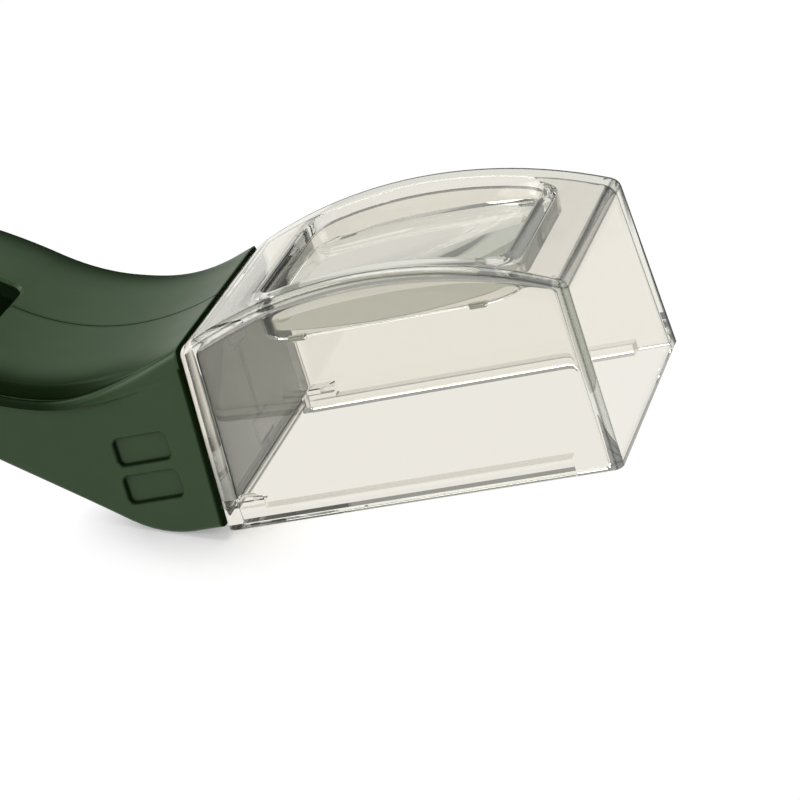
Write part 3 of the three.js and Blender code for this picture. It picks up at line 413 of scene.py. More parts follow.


# Writes the marks of painted shade and painted light on the chamber's edges
def paint_edges(bm, verts):
    share = bm.verts.layers.float["edge"]
    for r, ring in enumerate(verts[:EDGE_RING + len(EDGE_SHADE_ACROSS)]):
        for spec, vert in zip(CHAMBER_SPECS, ring):
            vert[share] = painted_edge_mark(spec, r)
    # Painted shade on the lens well's end walls
    for ring in verts[WELL_RING + 2:WELL_RING + 10]:
        for spec, vert in zip(CHAMBER_SPECS, ring):
            if spec[0] == "short":
                vert[share] = WELL_END_SHADE


def make_chamber():
    bm = bmesh.new()
    bm.verts.layers.float.new("edge")
    verts = add_skin(bm, chamber_rings(), loop=True)
    paint_edges(bm, verts)
    chamber = finish_mesh("clear_chamber", bm, sharp=32)
    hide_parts("viewing_chamber")
    return chamber


# Lens
def lens_half_thickness(distance):
    sag = lambda d: LENS_RADIUS - sqrt(LENS_RADIUS**2 - d**2)
    across, along = LENS_HALF_WIDTH - LENS_CORNER, LENS_HALF_LENGTH - LENS_CORNER
    reach = hypot(along, across) + LENS_CORNER
    return LENS_RIM / 2 + sag(reach) - sag(distance)


LENS_CENTRE_X = (WELL_X0 + WELL_X1) / 2
LENS_HALF_LENGTH = (WELL_X1 - WELL_X0) / 2 - GAP
LENS_HALF_WIDTH = WELL_HALF_WIDTH - GAP
LENS_CORNER = WELL_CORNER - GAP


def make_lens():
    outline = stretched_outline(-LENS_HALF_LENGTH, LENS_HALF_LENGTH, LENS_HALF_WIDTH, LENS_CORNER)
    rings = []
    shares = [0.02, *steps(16)[1:-1], 0.992, 1]
    for side in (-1, 1):
        for share in shares if side < 0 else reversed(shares):
            ring = []
            for u, v in outline:
                d = hypot(u, v) * share
                z = LENS_MID_Z + side * lens_half_thickness(d)
                if share == 1:
                    z -= side * BROKEN_EDGE
                ring.append((LENS_CENTRE_X + u * share, v * share, z))
            rings.append(ring)
    lens = skin("magnifier_glass", rings, sharp=32, caps=(0, -1))
    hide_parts("magnifier_lens")
    return lens


def soft_block(bm, x0, x1, y0, y1, z0, z1):
    """A box with chamfered edges."""
    rings, edge = [], BLOCK_EDGE
    for z, draw in ((z0, edge), (z0 + edge, 0), (z1 - edge, 0), (z1, edge)):
        ring = []
        for x, y, sx, sy in ((x1, y1, 1, 1), (x0, y1, -1, 1), (x0, y0, -1, -1), (x1, y0, 1, -1)):
            cut = [(sx * draw, sy * (draw + edge)), (sx * (draw + edge), sy * draw)]
            if sx * sy < 0:
                cut.reverse()
            ring += [(x - dx, y - dy, z) for dx, dy in cut]
        rings.append(ring)
    add_skin(bm, rings, caps=(0, -1))


def clear_bit(name, bm):
    bit = finish_mesh(name, bm)
    return bit


def make_lens_hooks():
    bm = bmesh.new()
    toe = WELL_HALF_WIDTH - HOOK_REACH
    foot = LENS_MID_Z - lens_half_thickness(hypot(LENS_HOOK_OFFSET, toe)) - GAP
    for end in (-1, 1):
        for side in (-1, 1):
            x0 = LENS_CENTRE_X + end * LENS_HOOK_OFFSET - LENS_HOOK_WIDTH / 2
            outer = side * (WELL_HALF_WIDTH + WELL_WALL)
            x1 = x0 + LENS_HOOK_WIDTH
            leg = sorted((side * WELL_HALF_WIDTH, outer))
            hook = sorted((side * toe, outer))
            soft_block(bm, x0, x1, *leg, foot - HOOK_TOP, WELL_BOTTOM - TOUCH)
            soft_block(bm, x0, x1, *hook, foot - HOOK_BOTTOM, foot - HOOK_TOP)
    return clear_bit("lens_hooks", bm)


def make_anchor_lugs():
    bm = bmesh.new()
    for z0, z1 in ANCHOR_LEVELS:
        x = joint_x(z0)
        neck = x - ANCHOR_NECK
        soft_block(bm, neck, x - TOUCH, -ANCHOR_NECK_HALF, ANCHOR_NECK_HALF, z0, z1)
        soft_block(bm, x - ANCHOR_DEPTH, neck, -ANCHOR_HEAD_HALF, ANCHOR_HEAD_HALF, z0, z1)
    return clear_bit("anchor_lugs", bm)


# Handle shells: slanted sections from the joint to the tail, as in the CAD model
BELLY_CENTRE_Z = BELLY_Z + BELLY_RADIUS
JOINT_TOP_Z = arch_z(joint_x(arch_z(0)))
SADDLE_RUN = joint_x(JOINT_TOP_Z) - GAP - SADDLE_X
SADDLE_RISE = JOINT_TOP_Z + CROWN_JOINT_RISE - SADDLE_Z
SADDLE_FRONT_RADIUS = (SADDLE_RUN**2 + SADDLE_RISE**2) / (2 * SADDLE_RISE)
SADDLE_FRONT = asin(SADDLE_RUN / SADDLE_FRONT_RADIUS)
NECK_FOOT = radial(CROWN_START, NECK_THICKNESS)
BELLY_ANGLE = tangent_angle(BELLY_X - NECK_FOOT[0], BELLY_CENTRE_Z - NECK_FOOT[1], BELLY_RADIUS)
TOP_FRONT = SADDLE_FRONT_RADIUS * SADDLE_FRONT
TOP_LENGTH = TOP_FRONT + SADDLE_RADIUS * CROWN_START


SKIRT_BLEND = 0.1


def side_y(z, spread=0.0, angle=CROWN_START):
    """The handle's half width: it follows the chamber's wall down to the grip's own width."""
    skirt = wall_y(z) - GRIP_HALF_WIDTH
    wide = (skirt + sqrt(skirt**2 + SKIRT_BLEND)) / 2
    blended = GRIP_HALF_WIDTH + wide + GRIP_SPREAD * spread
    taper = smooth((TAPER_START - angle) / (TAPER_START - TAIL_ANGLE))
    return blended - (GRIP_HALF_WIDTH - TAIL_HALF_WIDTH) * taper


class Section:
    """A slanted plane across the handle, from a point on its underside to one on its crown."""

    def __init__(self, foot, crown, crease, spread, angle=CROWN_START, drawn_in=0.0):
        dx, dz = crown[0] - foot[0], crown[1] - foot[1]
        self.height = hypot(dx, dz)
        self.up = (dx / self.height, dz / self.height)
        self.foot, self.crease, self.spread = foot, crease, spread
        self.angle, self.drawn_in = angle, drawn_in

    def half_width(self, h):
        return side_y(self.foot[1] + self.up[1] * h, self.spread, self.angle) - self.drawn_in

    def place(self, y, h):
        return (self.foot[0] + self.up[0] * h, y, self.foot[1] + self.up[1] * h)


def belly_section(t):
    """Between the joint and the crown's arc, at a share t of the way."""
    top = t * TOP_LENGTH
    radius, a = SADDLE_FRONT_RADIUS, SADDLE_FRONT - top / SADDLE_FRONT_RADIUS
    if top > TOP_FRONT:
        radius, a = SADDLE_RADIUS, -(top - TOP_FRONT) / SADDLE_RADIUS
    crown = (SADDLE_X + radius * sin(a), SADDLE_Z + radius * (1 - cos(a)))
    straight, arc = -BELLY_X - GAP, BELLY_RADIUS * BELLY_ANGLE
    end = polar(BELLY_X, BELLY_CENTRE_Z, -BELLY_RADIUS, BELLY_ANGLE)
    run = hypot(end[0] - NECK_FOOT[0], end[1] - NECK_FOOT[1])
    low = t * (straight + arc + run)
    foot = (-GAP - low, BELLY_Z)
    if low > straight + arc:
        k = (low - straight - arc) / run
        foot = (mix(end[0], NECK_FOOT[0], k), mix(end[1], NECK_FOOT[1], k))
    elif low > straight:
        foot = polar(BELLY_X, BELLY_CENTRE_Z, -BELLY_RADIUS, (low - straight) / BELLY_RADIUS)
    spread = smooth((t - SPREAD_FROM) / (1 - SPREAD_FROM))
    return Section(foot, crown, smooth(t / CREASE_FULL), spread)


def grip_section(angle):
    swell = smooth((CROWN_START - angle) / (CROWN_START - PALM_FRONT))
    shrink = smooth((SLIDE_REST - angle) / (SLIDE_REST - TAIL_ANGLE))
    thickness = mix(mix(NECK_THICKNESS, PALM_THICKNESS, swell), 2 * TAIL_RADIUS, shrink)
    return Section(radial(angle, thickness), radial(angle), 1.0, 1.0, angle)


TAIL_TURNS = (12, 24, 36, 48, 58, 67, 75, 80, 84)
TAIL_CREASE = 0.15


def tail_section(turn):
    """Round the tail's end, where the fender's crease runs out."""
    along, half = TAIL_RADIUS * sin(turn), TAIL_RADIUS * cos(turn)
    cx = TAIL_CENTRE[0] - along * cos(TAIL_ANGLE)
    cz = TAIL_CENTRE[1] + along * sin(TAIL_ANGLE)
    drawn_in = TAIL_PLAN_RADIUS * (1 - cos(turn))
    foot, crown = polar(cx, cz, -half, TAIL_ANGLE), polar(cx, cz, half, TAIL_ANGLE)
    crease = 1 - (1 - TAIL_CREASE) * smooth(turn / (TAIL_TURNS[-1] * RAD))
    return Section(foot, crown, crease, 1.0, TAIL_ANGLE, drawn_in)


def section_at(u):
    """The section whose crown point lies u along the crown from the joint."""
    if u <= TOP_LENGTH:
        return belly_section(max(0.0, u) / TOP_LENGTH)
    return grip_section(CROWN_START - (u - TOP_LENGTH) / CROWN_RADIUS)


SLOT_U0 = TOP_LENGTH + (CROWN_START - SLOT_FRONT) * CROWN_RADIUS
SLOT_U1 = TOP_LENGTH + (CROWN_START - SLOT_REAR) * CROWN_RADIUS
TAIL_U = TOP_LENGTH + (CROWN_START - TAIL_ANGLE) * CROWN_RADIUS
CHAMFER, NOSE = 0.55, 0.25
SLOT_COLUMNS, CROWN_COLUMNS = 6, 12
ROW_STEP = 1.5
# Painted shade in the grooves: it fades behind this angle, over the next one, to the last share
SHADE_UNTIL, SHADE_FADE, SHADE_LEFT = 32 * RAD, 12 * RAD, 0.25
# Painted shade down the crown's edge into the fender's valley, and a faint painted shade along the seam
PAINTED_VALLEY_SHADE = (1,) * 8 + (0.98, 0.96, 0.93, 0.9, 0.7, 0.45, 0.25, 0.12, 0.05)
PAINTED_SEAM_SHADE = 0.3


def slot_half(u, grow):
    """Half the slot's width at u, grown all round. Past its ends, that of their straight part."""
    inside = min(u - SLOT_U0, SLOT_U1 - u) + grow
    if inside < -1e-6:
        return SLOT_HALF_WIDTH - SLOT_CORNER
    radius = SLOT_CORNER + grow
    over = max(0.0, radius - inside)
    return SLOT_HALF_WIDTH - SLOT_CORNER + sqrt(max(0.0, radius**2 - over**2))


def row_stations():
    """Distances along the crown of the shell's rows, closer together at the slot's ends."""
    marks = {0.0, 0.04, 0.1, NOSE, 0.7}
    marks.update(ROW_STEP * i for i in range(1, int(TAIL_U / ROW_STEP) + 1))
    for end, way in ((SLOT_U0, 1), (SLOT_U1, -1)):
        marks = {m for m in marks if abs(m - end - way * 1.2) > 2.8}
        over = [-share * CHAMFER for share in (1, 0.8, 0.4)]
        marks.update(end + way * step for step in (-1.2, *over, 0, 0.15, 0.5, 1, 1.7, 2.4, 3))
    marks.add(TAIL_U)
    return sorted(marks)


LIP_POINTS = len(quarter(10)) - 1


def painted_groove_shade(st, before_lip):
    """How much painted shade the section's points get, up to the end of the fender's valley."""
    hidden = 1 - (1 - SHADE_LEFT) * smooth((SHADE_UNTIL - st.angle) / SHADE_FADE)
    lip, valley = hidden * min(0.95, 2 * st.spread), hidden * st.crease
    shade = [0.0] * (before_lip - 3) + [lip * s for s in (0.4, 0.8, 1)] + [lip] * LIP_POINTS
    return shade + [valley * s for s in PAINTED_VALLEY_SHADE]


def shell_profile(st, u):
    """Half of the outer skin's section as (y, h), from the bottom seam round to the top one, and
    how much painted shade each point gets."""
    lip_height = min(mix(LIP_FRONT, LIP_REAR, st.crease), 0.42 * st.height)
    crease = min(mix(CREASE_FRONT, CREASE_REAR, st.crease), 0.26 * st.height)
    skirt_top = st.height - lip_height
    skirt_end = skirt_top - min(LIP_UNDERCUT, 0.12 * st.height)
    flare = LIP_FLARE * st.crease
    side = st.half_width(skirt_top) + flare
    fender = mix(FENDER_FRONT, FENDER_REAR, st.crease)
    shoulder = mix(SHOULDER_FRONT, SHOULDER_REAR, st.crease)
    valley_y = side - fender - CREASE_WIDTH
    crown_y = valley_y - shoulder
    camber = min(CAMBER * st.crease, crease / 2)
    lip_top = lip_height - crease + 0.35 * st.crease
    edge = min(BELLY_EDGE, 0.3 * st.height)
    foot = st.half_width(0) - edge
    seam = SEAM_GAP / 2
    turns = quarter(10)[1:]
    points = [(mix(seam, foot, t), 0.0) for t in steps(8)]
    points += [(foot + edge * sin(a), edge * (1 - cos(a))) for a in quarter(15)[1:]]
    for t in steps(10)[1:]:
        h = mix(edge, skirt_end, t)
        points.append((st.half_width(h), h))
    for t in steps(5)[1:]:
        h = mix(skirt_end, skirt_top, t)
        points.append((st.half_width(h) + flare * smooth(t), h))
    points += [(side - fender * (1 - cos(a)), skirt_top + lip_top * sin(a)) for a in turns]
    lip_end = points[-1]
    before_lip = len(points) - LIP_POINTS
    valley = (valley_y, st.height - crease)
    for t in (0.35, 0.7, 1):
        points.append((mix(lip_end[0], valley[0], t), mix(lip_end[1], valley[1], smooth(t))))
    rise = crease - camber
    points += [(crown_y + shoulder * cos(a), valley[1] + rise * sin(a)) for a in turns]
    shade = painted_groove_shade(st, before_lip)
    rim = slot_half(u, CHAMFER)
    crown = lambda y: (y, st.height - camber * (y / crown_y) ** 2)
    points += [crown(mix(crown_y, rim, t)) for t in steps(CROWN_COLUMNS)[1:]]
    past = min(u - SLOT_U0, SLOT_U1 - u) + CHAMFER
    depth = CHAMFER * min(1.0, max(0.0, past) / CHAMFER)
    first = min(slot_half(u, 0), rim)
    for t in steps(SLOT_COLUMNS):
        y, h = crown(mix(first, seam, t))
        points.append((y, h - depth))
    return points, shade + [0.0] * (len(points) - len(shade) - 1) + [PAINTED_SEAM_SHADE]


def nose_inset(points, u):
    """The shell's front edge, rounded over towards the joint."""
    if u >= NOSE:
        return points
    draw = NOSE - sqrt(max(0.0, NOSE**2 - (NOSE - u) ** 2))
    moved = []
    for i, (y, h) in enumerate(points):
        a, b = points[max(0, i - 1)], points[min(len(points) - 1, i + 1)]
        dy, dh = b[0] - a[0], b[1] - a[1]
        size = hypot(dy, dh) or 1
        moved.append((max(SEAM_GAP / 2, y - draw * dh / size), h + draw * dy / size))
    return moved


def plate_notches(points, section):
    """The front plate's edge along the seam, with its windows."""
    seam = 0.8
    top, bottom = points[-1][1], points[0][1]
    to_h = lambda z: (z - section.foot[1]) / section.up[1]
    path = []
    for half, low, high in PLATE_WINDOWS:
        high_h, low_h = to_h(high), max(to_h(low), bottom + 0.3)
        path += [(seam, high_h), (half, high_h), (half, low_h), (seam, low_h)]
    return [p for p in path if bottom < p[1] < top]


def shell_skin(side):
    """A half shell's outer skin, its front plate and tail end, and the marks of its painted shade."""
    rows = row_stations()
    bm = bmesh.new()
    sections = [section_at(u) for u in rows] + [tail_section(turn * RAD) for turn in TAIL_TURNS]
    rows += [TAIL_U] * len(TAIL_TURNS)
    profiles, shades = [], []
    for st, u in zip(sections, rows):
        points, shade = shell_profile(st, u)
        profiles.append(nose_inset(points, u))
        # Painted shade: the front edge is dark where the joint's gap shades it, least under the crown's
        # front
        dark_until = [0.02 if h > 0.9 * st.height else 0.3 for y, h in points]
        shades.append([1.0 if u < end else s for s, end in zip(shade, dark_until)])
    rings = [[st.place(side * y, h) for y, h in points] for st, points in zip(sections, profiles)]
    slot_from = len(rings[0]) - SLOT_COLUMNS - 1

    def keep(row, column):
        inside = SLOT_U0 - 1e-6 <= rows[row] and rows[row + 1] <= SLOT_U1 + 1e-6
        return not (inside and column >= slot_from)

    verts = add_skin(bm, rings, wrap=False, keep=keep)
    marks = [(vert.co.copy(), value) for ring, shade in zip(verts, shades)
             for vert, value in zip(ring, shade) if value > 0.01]
    bm.faces.new(verts[-1])
    notches = plate_notches(profiles[0], sections[0])
    extra = [bm.verts.new(place(sections[0].place(side * y, h))) for y, h in notches]
    bm.faces.new(verts[0] + extra)
    loose = [v for v in bm.verts if not v.link_faces]
    bmesh.ops.delete(bm, geom=loose, context="VERTS")
    return bm, marks


def write_marks(mesh, marks):
    """Stores each mark on the vertex that lies on it, for the shader's painted shade."""
    tree = KDTree(len(marks))
    for i, (point, value) in enumerate(marks):
        tree.insert(point, i)
    tree.balance()
    painted_shade = mesh.attributes.new("painted_shade", "FLOAT", "POINT")
    for vertex in mesh.vertices:
        point, i, distance = tree.find(vertex.co)
        painted_shade.data[vertex.index].value = marks[i][1] if distance < 1e-5 else 0.0


SHELL_SCREWS = ("front_upper", "front_lower", "bend", "palm_front", "palm_rear", "tail")
# x and z ranges, the rings' depths and growths, and the side that gets painted shade, in degrees
RECESSES = [(-16.5, -6.1, 15.5, 20.8), (-16.8, -6.0, 8.1, 13.5)]
RECESS_RINGS = ((-1.5, 1.8), (0.0, 0.3), (0.3, 0.04), (0.95, 0.0), (1.0, -0.06), (1.0, -0.4))
RECESS_CORNER, RECESS_SHADED_SIDE, RECESS_PAINTED_SHADE = 1.1, 225, 0.9


def recess_cutter():
    """Shallow rounded pockets with sloping edges, one block for each, and the marks of painted
    shade on their rear and lower walls."""
    bm = bmesh.new()
    marks = []
    corners = [spec for spec in CHAMBER_SPECS if spec[0] == "corner"]
    for x0, x1, z0, z1 in RECESSES:
        rings = []
        for depth, grow in RECESS_RINGS:
            box = (x0 - grow, x1 + grow, (z1 - z0) / 2 + grow, RECESS_CORNER + grow)
            outline = [outline_point(spec, *box) for spec in corners]
            levels = [(x, (z0 + z1) / 2 + z) for x, z in outline]
            rings.append([(x, depth - side_y(z), z) for x, z in levels])
        verts = add_skin(bm, rings, caps=(0, -1))
        for ring in verts[2:-1]:
            for i, vert in enumerate(ring):
                side, step = divmod(i, CORNER_STEPS + 1)
                turn = (90 * side + 90 // CORNER_STEPS * step - RECESS_SHADED_SIDE) * RAD
                # Painted shade on the walls, strongest round the shaded side
                shade = RECESS_PAINTED_SHADE * smooth((cos(turn) + 0.1) / 0.6)
                marks.append((vert.co.copy(), shade))
    return to_mesh("recess_cutter", bm), marks


def screw_places():
    """(x, z, y) in the tool's frame of each shell screw's head, from its CAD node."""
    for spot in SHELL_SCREWS:
        low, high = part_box("shell_screw_" + spot)
        middle = unplace((low + high) / 2)
        yield middle.x, middle.z, high.y / MM


def circle(x, y, z, radius):
    """A ring of points round an axis along Y."""
    sides = 28
    turns = [2 * pi * i / sides for i in range(sides)]
    return [(x + radius * cos(a), y, z + radius * sin(a)) for a in turns]


def screw_hole_cutter():
    bm = bmesh.new()
    for x, z, head_y in screw_places():
        ends = (head_y - HOLE_DEPTH, head_y + 8)
        add_skin(bm, [circle(x, y, z, HEAD_HOLE) for y in ends], caps=(0, -1))
    return to_mesh("screw_hole_cutter", bm), []


THIN_TAIL = 2.2
THIN_FRONT_Z, THIN_FRONT_DEPTH, THIN_FRONT = 30, 0.5, 0.3


def thin_the_wall(shell):
    """Weights that draw the wall in towards the tail's end, where two full ones have no room, and
    along the saddle's sharp front edge."""
    group = shell.vertex_groups.new(name="wall")
    for vertex in shell.data.vertices:
        point = unplace(vertex.co)
        past = (TAIL_CENTRE[0] - point.x) * cos(TAIL_ANGLE)
        past += (point.z - TAIL_CENTRE[1]) * sin(TAIL_ANGLE)
        half = sqrt(max(0.0, TAIL_RADIUS**2 - max(0.0, past) ** 2))
        share = min(1.0, half / (THIN_TAIL * SHELL_WALL))
        front = joint_x(point.z) - GAP - THIN_FRONT_DEPTH
        if point.z > THIN_FRONT_Z and point.x > front:
            share = THIN_FRONT
        group.add([vertex.index], share, "REPLACE")


def make_shell(side):
    right = side < 0
    bm, marks = shell_skin(side)
    shell = finish_mesh("handle_right" if right else "handle_left", bm, sharp=38)
    wall = shell.modifiers.new("wall", "SOLIDIFY")
    wall.thickness, wall.offset, wall.use_even_offset = SHELL_WALL * MM, -1, False
    thin_the_wall(shell)
    wall.vertex_group = "wall"
    bake(shell)
    shell.vertex_groups.clear()
    cutter_mesh, more_marks = recess_cutter() if right else screw_hole_cutter()
    cutter = link("cutter", cutter_mesh)
    cut = shell.modifiers.new("cut", "BOOLEAN")
    cut.object, cut.solver, cut.operation = cutter, "EXACT", "DIFFERENCE"
    bake(shell, sharp=32)
    bpy.data.objects.remove(cutter)
    write_marks(shell.data, marks + more_marks)
    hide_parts("handle_shell_right" if right else "handle_shell_left")
    return shell


def make_screw_cups():
    """The tubes inside the left shell that the screw heads sit in."""
    bm = bmesh.new()
    section = (
        (SHANK_HOLE, -HEAD_SEAT), (HEAD_HOLE, -HEAD_SEAT), (HEAD_HOLE, CUP_TOP),
        (CUP_RADIUS, CUP_TOP), (CUP_RADIUS, -CUP_BOTTOM), (SHANK_HOLE, -CUP_BOTTOM),
    )
    for x, z, head_y in screw_places():
        add_skin(bm, [circle(x, head_y + rise, z, radius) for radius, rise in section], loop=True)
    cups = finish_mesh("screw_cups", bm)
    return cups


# Trap door: the sheet's route back through the handle
DOOR_CENTRE_Z = DOOR_Z + DOOR_BEND_RADIUS
TO_BEND = (DOOR_BEND_X - CROWN_X, DOOR_CENTRE_Z - CROWN_Z)
BEND_ANGLE = tangent_angle(*TO_BEND, DOOR_BEND_RADIUS + DOOR_RADIUS)
STRAIGHT_RUN = hypot(*TO_BEND) * sin(atan2(*TO_BEND) - BEND_ANGLE)
BEND_END = -DOOR_BEND_X + DOOR_BEND_RADIUS * BEND_ANGLE
ARC_START = BEND_END + STRAIGHT_RUN
DOOR_COLUMNS, DOOR_EDGE = 10, 0.12
SLIDE_S = ARC_START + DOOR_RADIUS * (BEND_ANGLE - SLIDE_REST)
# Where the sheet's strips start and end on its route, and where two of them blend
PANEL_S, BEND_S, TONGUE_S = (-1.2, 7.6), (8, ARC_START + 1.6), (ARC_START + 2, SLIDE_S + 7.5)
PANEL_SOFT_X, TONGUE_SOFT_S = (-7.0, 0.6), (ARC_START + 4, SLIDE_S - 9)


def door_route(s):
    """(x, z, slope) of the sheet's middle, s behind the joint along its route."""
    if s <= -DOOR_BEND_X:
        return -s, DOOR_Z, 0.0
    a = (s + DOOR_BEND_X) / DOOR_BEND_RADIUS if s <= BEND_END else BEND_ANGLE
    x, z = polar(DOOR_BEND_X, DOOR_CENTRE_Z, -DOOR_BEND_RADIUS, a)
    if s > ARC_START:
        a = BEND_ANGLE - (s - ARC_START) / DOOR_RADIUS
        return *radial(a, DOOR_DEPTH), a
    run = max(0.0, s - BEND_END)
    return x - run * cos(a), z + run * sin(a), a


def door_strip(name, start, end, rows, half):
    """A strip of the sheet between two places on its route."""
    rings = []
    for share in steps(rows):
        x, z, a = door_route(mix(start, end, share))
        ring = []
        for side in (-1, 1):
            for t in steps(DOOR_COLUMNS):
                y = mix(-half, half, t) * -side
                h = side * (DOOR_THICKNESS / 2 - (DOOR_EDGE if t in (0, 1) else 0.0))
                ring.append((x + h * sin(a), y, z + h * cos(a)))
        rings.append(ring)
    strip = skin(name, rings, sharp=30, caps=(0, -1))
    return strip


def make_door():
    mouth = door_strip("door_sheet_panel", *PANEL_S, 28, DOOR_HALF_WIDTH)
    bend = door_strip("door_sheet_bend", *BEND_S, 30, DOOR_HALF_WIDTH)
    tongue = door_strip("door_sheet_tongue", *TONGUE_S, 60, TONGUE_HALF_WIDTH)
    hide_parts("trap_door_sheet")
    start, end = [place((x, 0, DOOR_Z)) for x in PANEL_SOFT_X]
    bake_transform(mouth, "viewer", "trap_door", start=start, end=end)
    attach(bend, "viewer")
    start, end = [place((x, 0, z)) for x, z, slope in map(door_route, TONGUE_SOFT_S)]
    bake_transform(tongue, "viewer", "thumb_slide", start=start, end=end)
    return mouth, bend, tongue


# Thumb button, bent round the crown at the slide's rest place
BUTTON_BOTTOM = CROWN_RADIUS + SLOT_GAP
BUTTON_TOP = BUTTON_BOTTOM + 4.2
BUTTON_HALF_LENGTH, BUTTON_HALF_WIDTH, BUTTON_EDGE, BUTTON_CORNER = 12.0, 9.0, 1.6, 5.0
RIDGE_PITCH, RIDGE_RADIUS, RIDGE_SINK, RIDGE_SIDES = 3.4, 0.8, 0.2, 12


def bent(x, y, radius):
    """A point of the button, x along the crown from its middle."""
    x, z = polar(CROWN_X, CROWN_Z, radius, SLIDE_REST + x / CROWN_RADIUS)
    return x, y, z


def make_button():
    bm = bmesh.new()
    rings = []
    levels = [(0.3, BUTTON_BOTTOM), (0.0, BUTTON_BOTTOM + 0.3)]
    levels += [(BUTTON_EDGE * (1 - cos(a)), BUTTON_TOP - BUTTON_EDGE * (1 - sin(a)))
               for a in quarter(15)]
    for inset, radius in levels + [(inset, BUTTON_TOP) for inset in (3.0, 5.5, 8.9)]:
        length, width = BUTTON_HALF_LENGTH - inset, max(0.1, BUTTON_HALF_WIDTH - inset)
        corner = max(0.05, min(BUTTON_CORNER - inset, width))
        outline = stretched_outline(-length, length, width, corner)
        rings.append([bent(x, y, radius) for x, y in outline])
    add_skin(bm, rings, caps=(0, -1))
    half = BUTTON_HALF_WIDTH - BUTTON_EDGE - 1
    turns = [2 * pi * k / RIDGE_SIDES for k in range(RIDGE_SIDES)]
    for spot in range(-2, 3):
        x = spot * RIDGE_PITCH
        rings = []
        for t in steps(24):
            y = mix(-half, half, t)
            past = max(0.0, abs(y) - half + RIDGE_RADIUS) / RIDGE_RADIUS
            size = RIDGE_RADIUS * sqrt(max(0.03, 1 - past**2))
            top = BUTTON_TOP - RIDGE_SINK
            rings.append([bent(x + size * cos(a), y, top + size * sin(a)) for a in turns])
        add_skin(bm, rings, caps=(0, -1))
    button = finish_mesh("thumb_pad", bm, sharp=35)
    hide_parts("thumb_button")
    return button


# Shader graphs
# Colour of the painted shade in the handle's grooves, recesses and joint gap
PAINTED_SHADE_TINT = (0.008, 0.016, 0.006, 1.0)
# Colours of the painted shade on the clear plastic's edges, of rays that stay in it long, of its painted
# dark lines and of its painted light
PAINTED_EDGE_SHADE, TRAPPED_TINT = (0.05, 0.058, 0.045, 1.0), (0.82, 0.83, 0.805, 1.0)
PAINTED_LINE_SHADE, PAINTED_LIGHT_TINT = (0.12, 0.13, 0.12, 1.0), (0.9, 0.84, 0.74, 1.0)


class Value:
    """A shader socket that takes part in sums."""

    def __init__(self, tree, socket):
        self.tree, self.socket = tree, socket

    def math(self, operation, other):
        node = self.tree.nodes.new("ShaderNodeMath")
        node.operation = operation
        plug(self.tree, self, node.inputs[0])
        plug(self.tree, other, node.inputs[1])
        return Value(self.tree, node.outputs[0])

    __add__ = partialmethod(math, "ADD")
    __sub__ = partialmethod(math, "SUBTRACT")
    __mul__ = partialmethod(math, "MULTIPLY")
    at_most = partialmethod(math, "MINIMUM")
    at_least = partialmethod(math, "MAXIMUM")


def plug(tree, item, entry):
    if isinstance(item, Value):
        tree.links.new(item.socket, entry)
    else:
        entry.default_value = item


class Graph:
    """A node tree, and one way to add any node to it."""

    def __init__(self, tree):
        self.tree = tree
        tree.nodes.clear()

    def node(self, kind, entries=None, output=0, **settings):
        node = self.tree.nodes.new("ShaderNode" + kind)
        for name, value in settings.items():
            setattr(node, name, value)
        for name, value in (entries or {}).items():
            plug(self.tree, value, node.inputs[name])
        return Value(self.tree, node.outputs[output])

    def place_on(self):
        return self.node("TexCoord", output="Object")

    def rays(self, kind):
        """1 for rays of this kind."""
        return self.node("LightPath", output=f"Is {kind} Ray")

    def mark(self, name):
        return self.node("Attribute", output="Fac", attribute_name=name)

    def diffuse(self, colour):
        return self.node("BsdfDiffuse", {"Color": colour})

    def glow(self, colour, strength):
        return self.node("Emission", {"Color": colour, "Strength": strength})

    def mixed(self, factor, a, b):
        """Shader a, or b where factor is 1."""
        return self.node("MixShader", {0: factor, 1: a, 2: b})

    def noise(self, scale, detail=2.0, roughness=0.5):
        return self.node("TexNoise", {
            "Vector": self.place_on(), "Scale": scale, "Detail": detail, "Roughness": roughness,
        })

    def blend(self, factor, a, b):
        return self.node("Mix", {0: factor, 6: a, 7: b}, 2, data_type="RGBA")

    def bump(self, height, distance):
        return self.node("Bump", {"Height": height, "Distance": distance, "Strength": 1.0})

    def surface(self, shader, kind="Material"):
        out = self.tree.nodes.new("ShaderNodeOutput" + kind)
        self.tree.links.new(shader.socket, out.inputs["Surface"])


def srgb(*rgb):
    """Screen colours from 0 to 255, as a linear RGBA."""
    return tuple(((c / 255 + 0.055) / 1.055) ** 2.4 if c > 10 else c / 3295 for c in rgb) + (1.0,)


def material(name):
    made = bpy.data.materials.new(name)
    made.use_nodes = True
    return made, Graph(made.node_tree)


# Depth of the moulded grain and of the steel's streaks, in millimetres
GRAIN, STREAK = 0.012, 0.01


def moulded_plastic(name, colour, pale, rough, shine=0.2, with_painted_shade=False):
    """Satin plastic with spark-eroded grain, a faint flow pattern and uneven gloss. With painted
    shade, its marks turn it dark: a dark matt colour painted where shade falls in grooves and recesses."""
    made, g = material(name)
    flow = g.noise(28, 3, 0.55)
    cloud = g.noise(140, 2)
    tone = (flow * 0.65 + cloud * 0.35 - 0.35) * 2.2
    base = g.blend(tone.at_least(0.0).at_most(1.0), colour, pale)
    height = g.noise(2600, 1) * 0.6 + g.noise(900, 2) * 0.4
    shader = g.node("BsdfPrincipled", {
        "Base Color": base,
        "Roughness": cloud * 0.12 + (rough - 0.06),
        "IOR": 1.5,
        "Specular IOR Level": shine,
        "Normal": g.bump(height, GRAIN * MM),
    })
    # Painted shade: a dark matt colour replaces the plastic where the marks say shade falls
    if with_painted_shade:
        shader = g.mixed(g.mark("painted_shade"), shader, g.diffuse(PAINTED_SHADE_TINT))
    g.surface(shader)
    return made


# Past this many bends a ray goes straight on, so that edges which trap light don't turn black
DEEPEST_BEND = 4.5
PLASTIC_IOR = 1.49


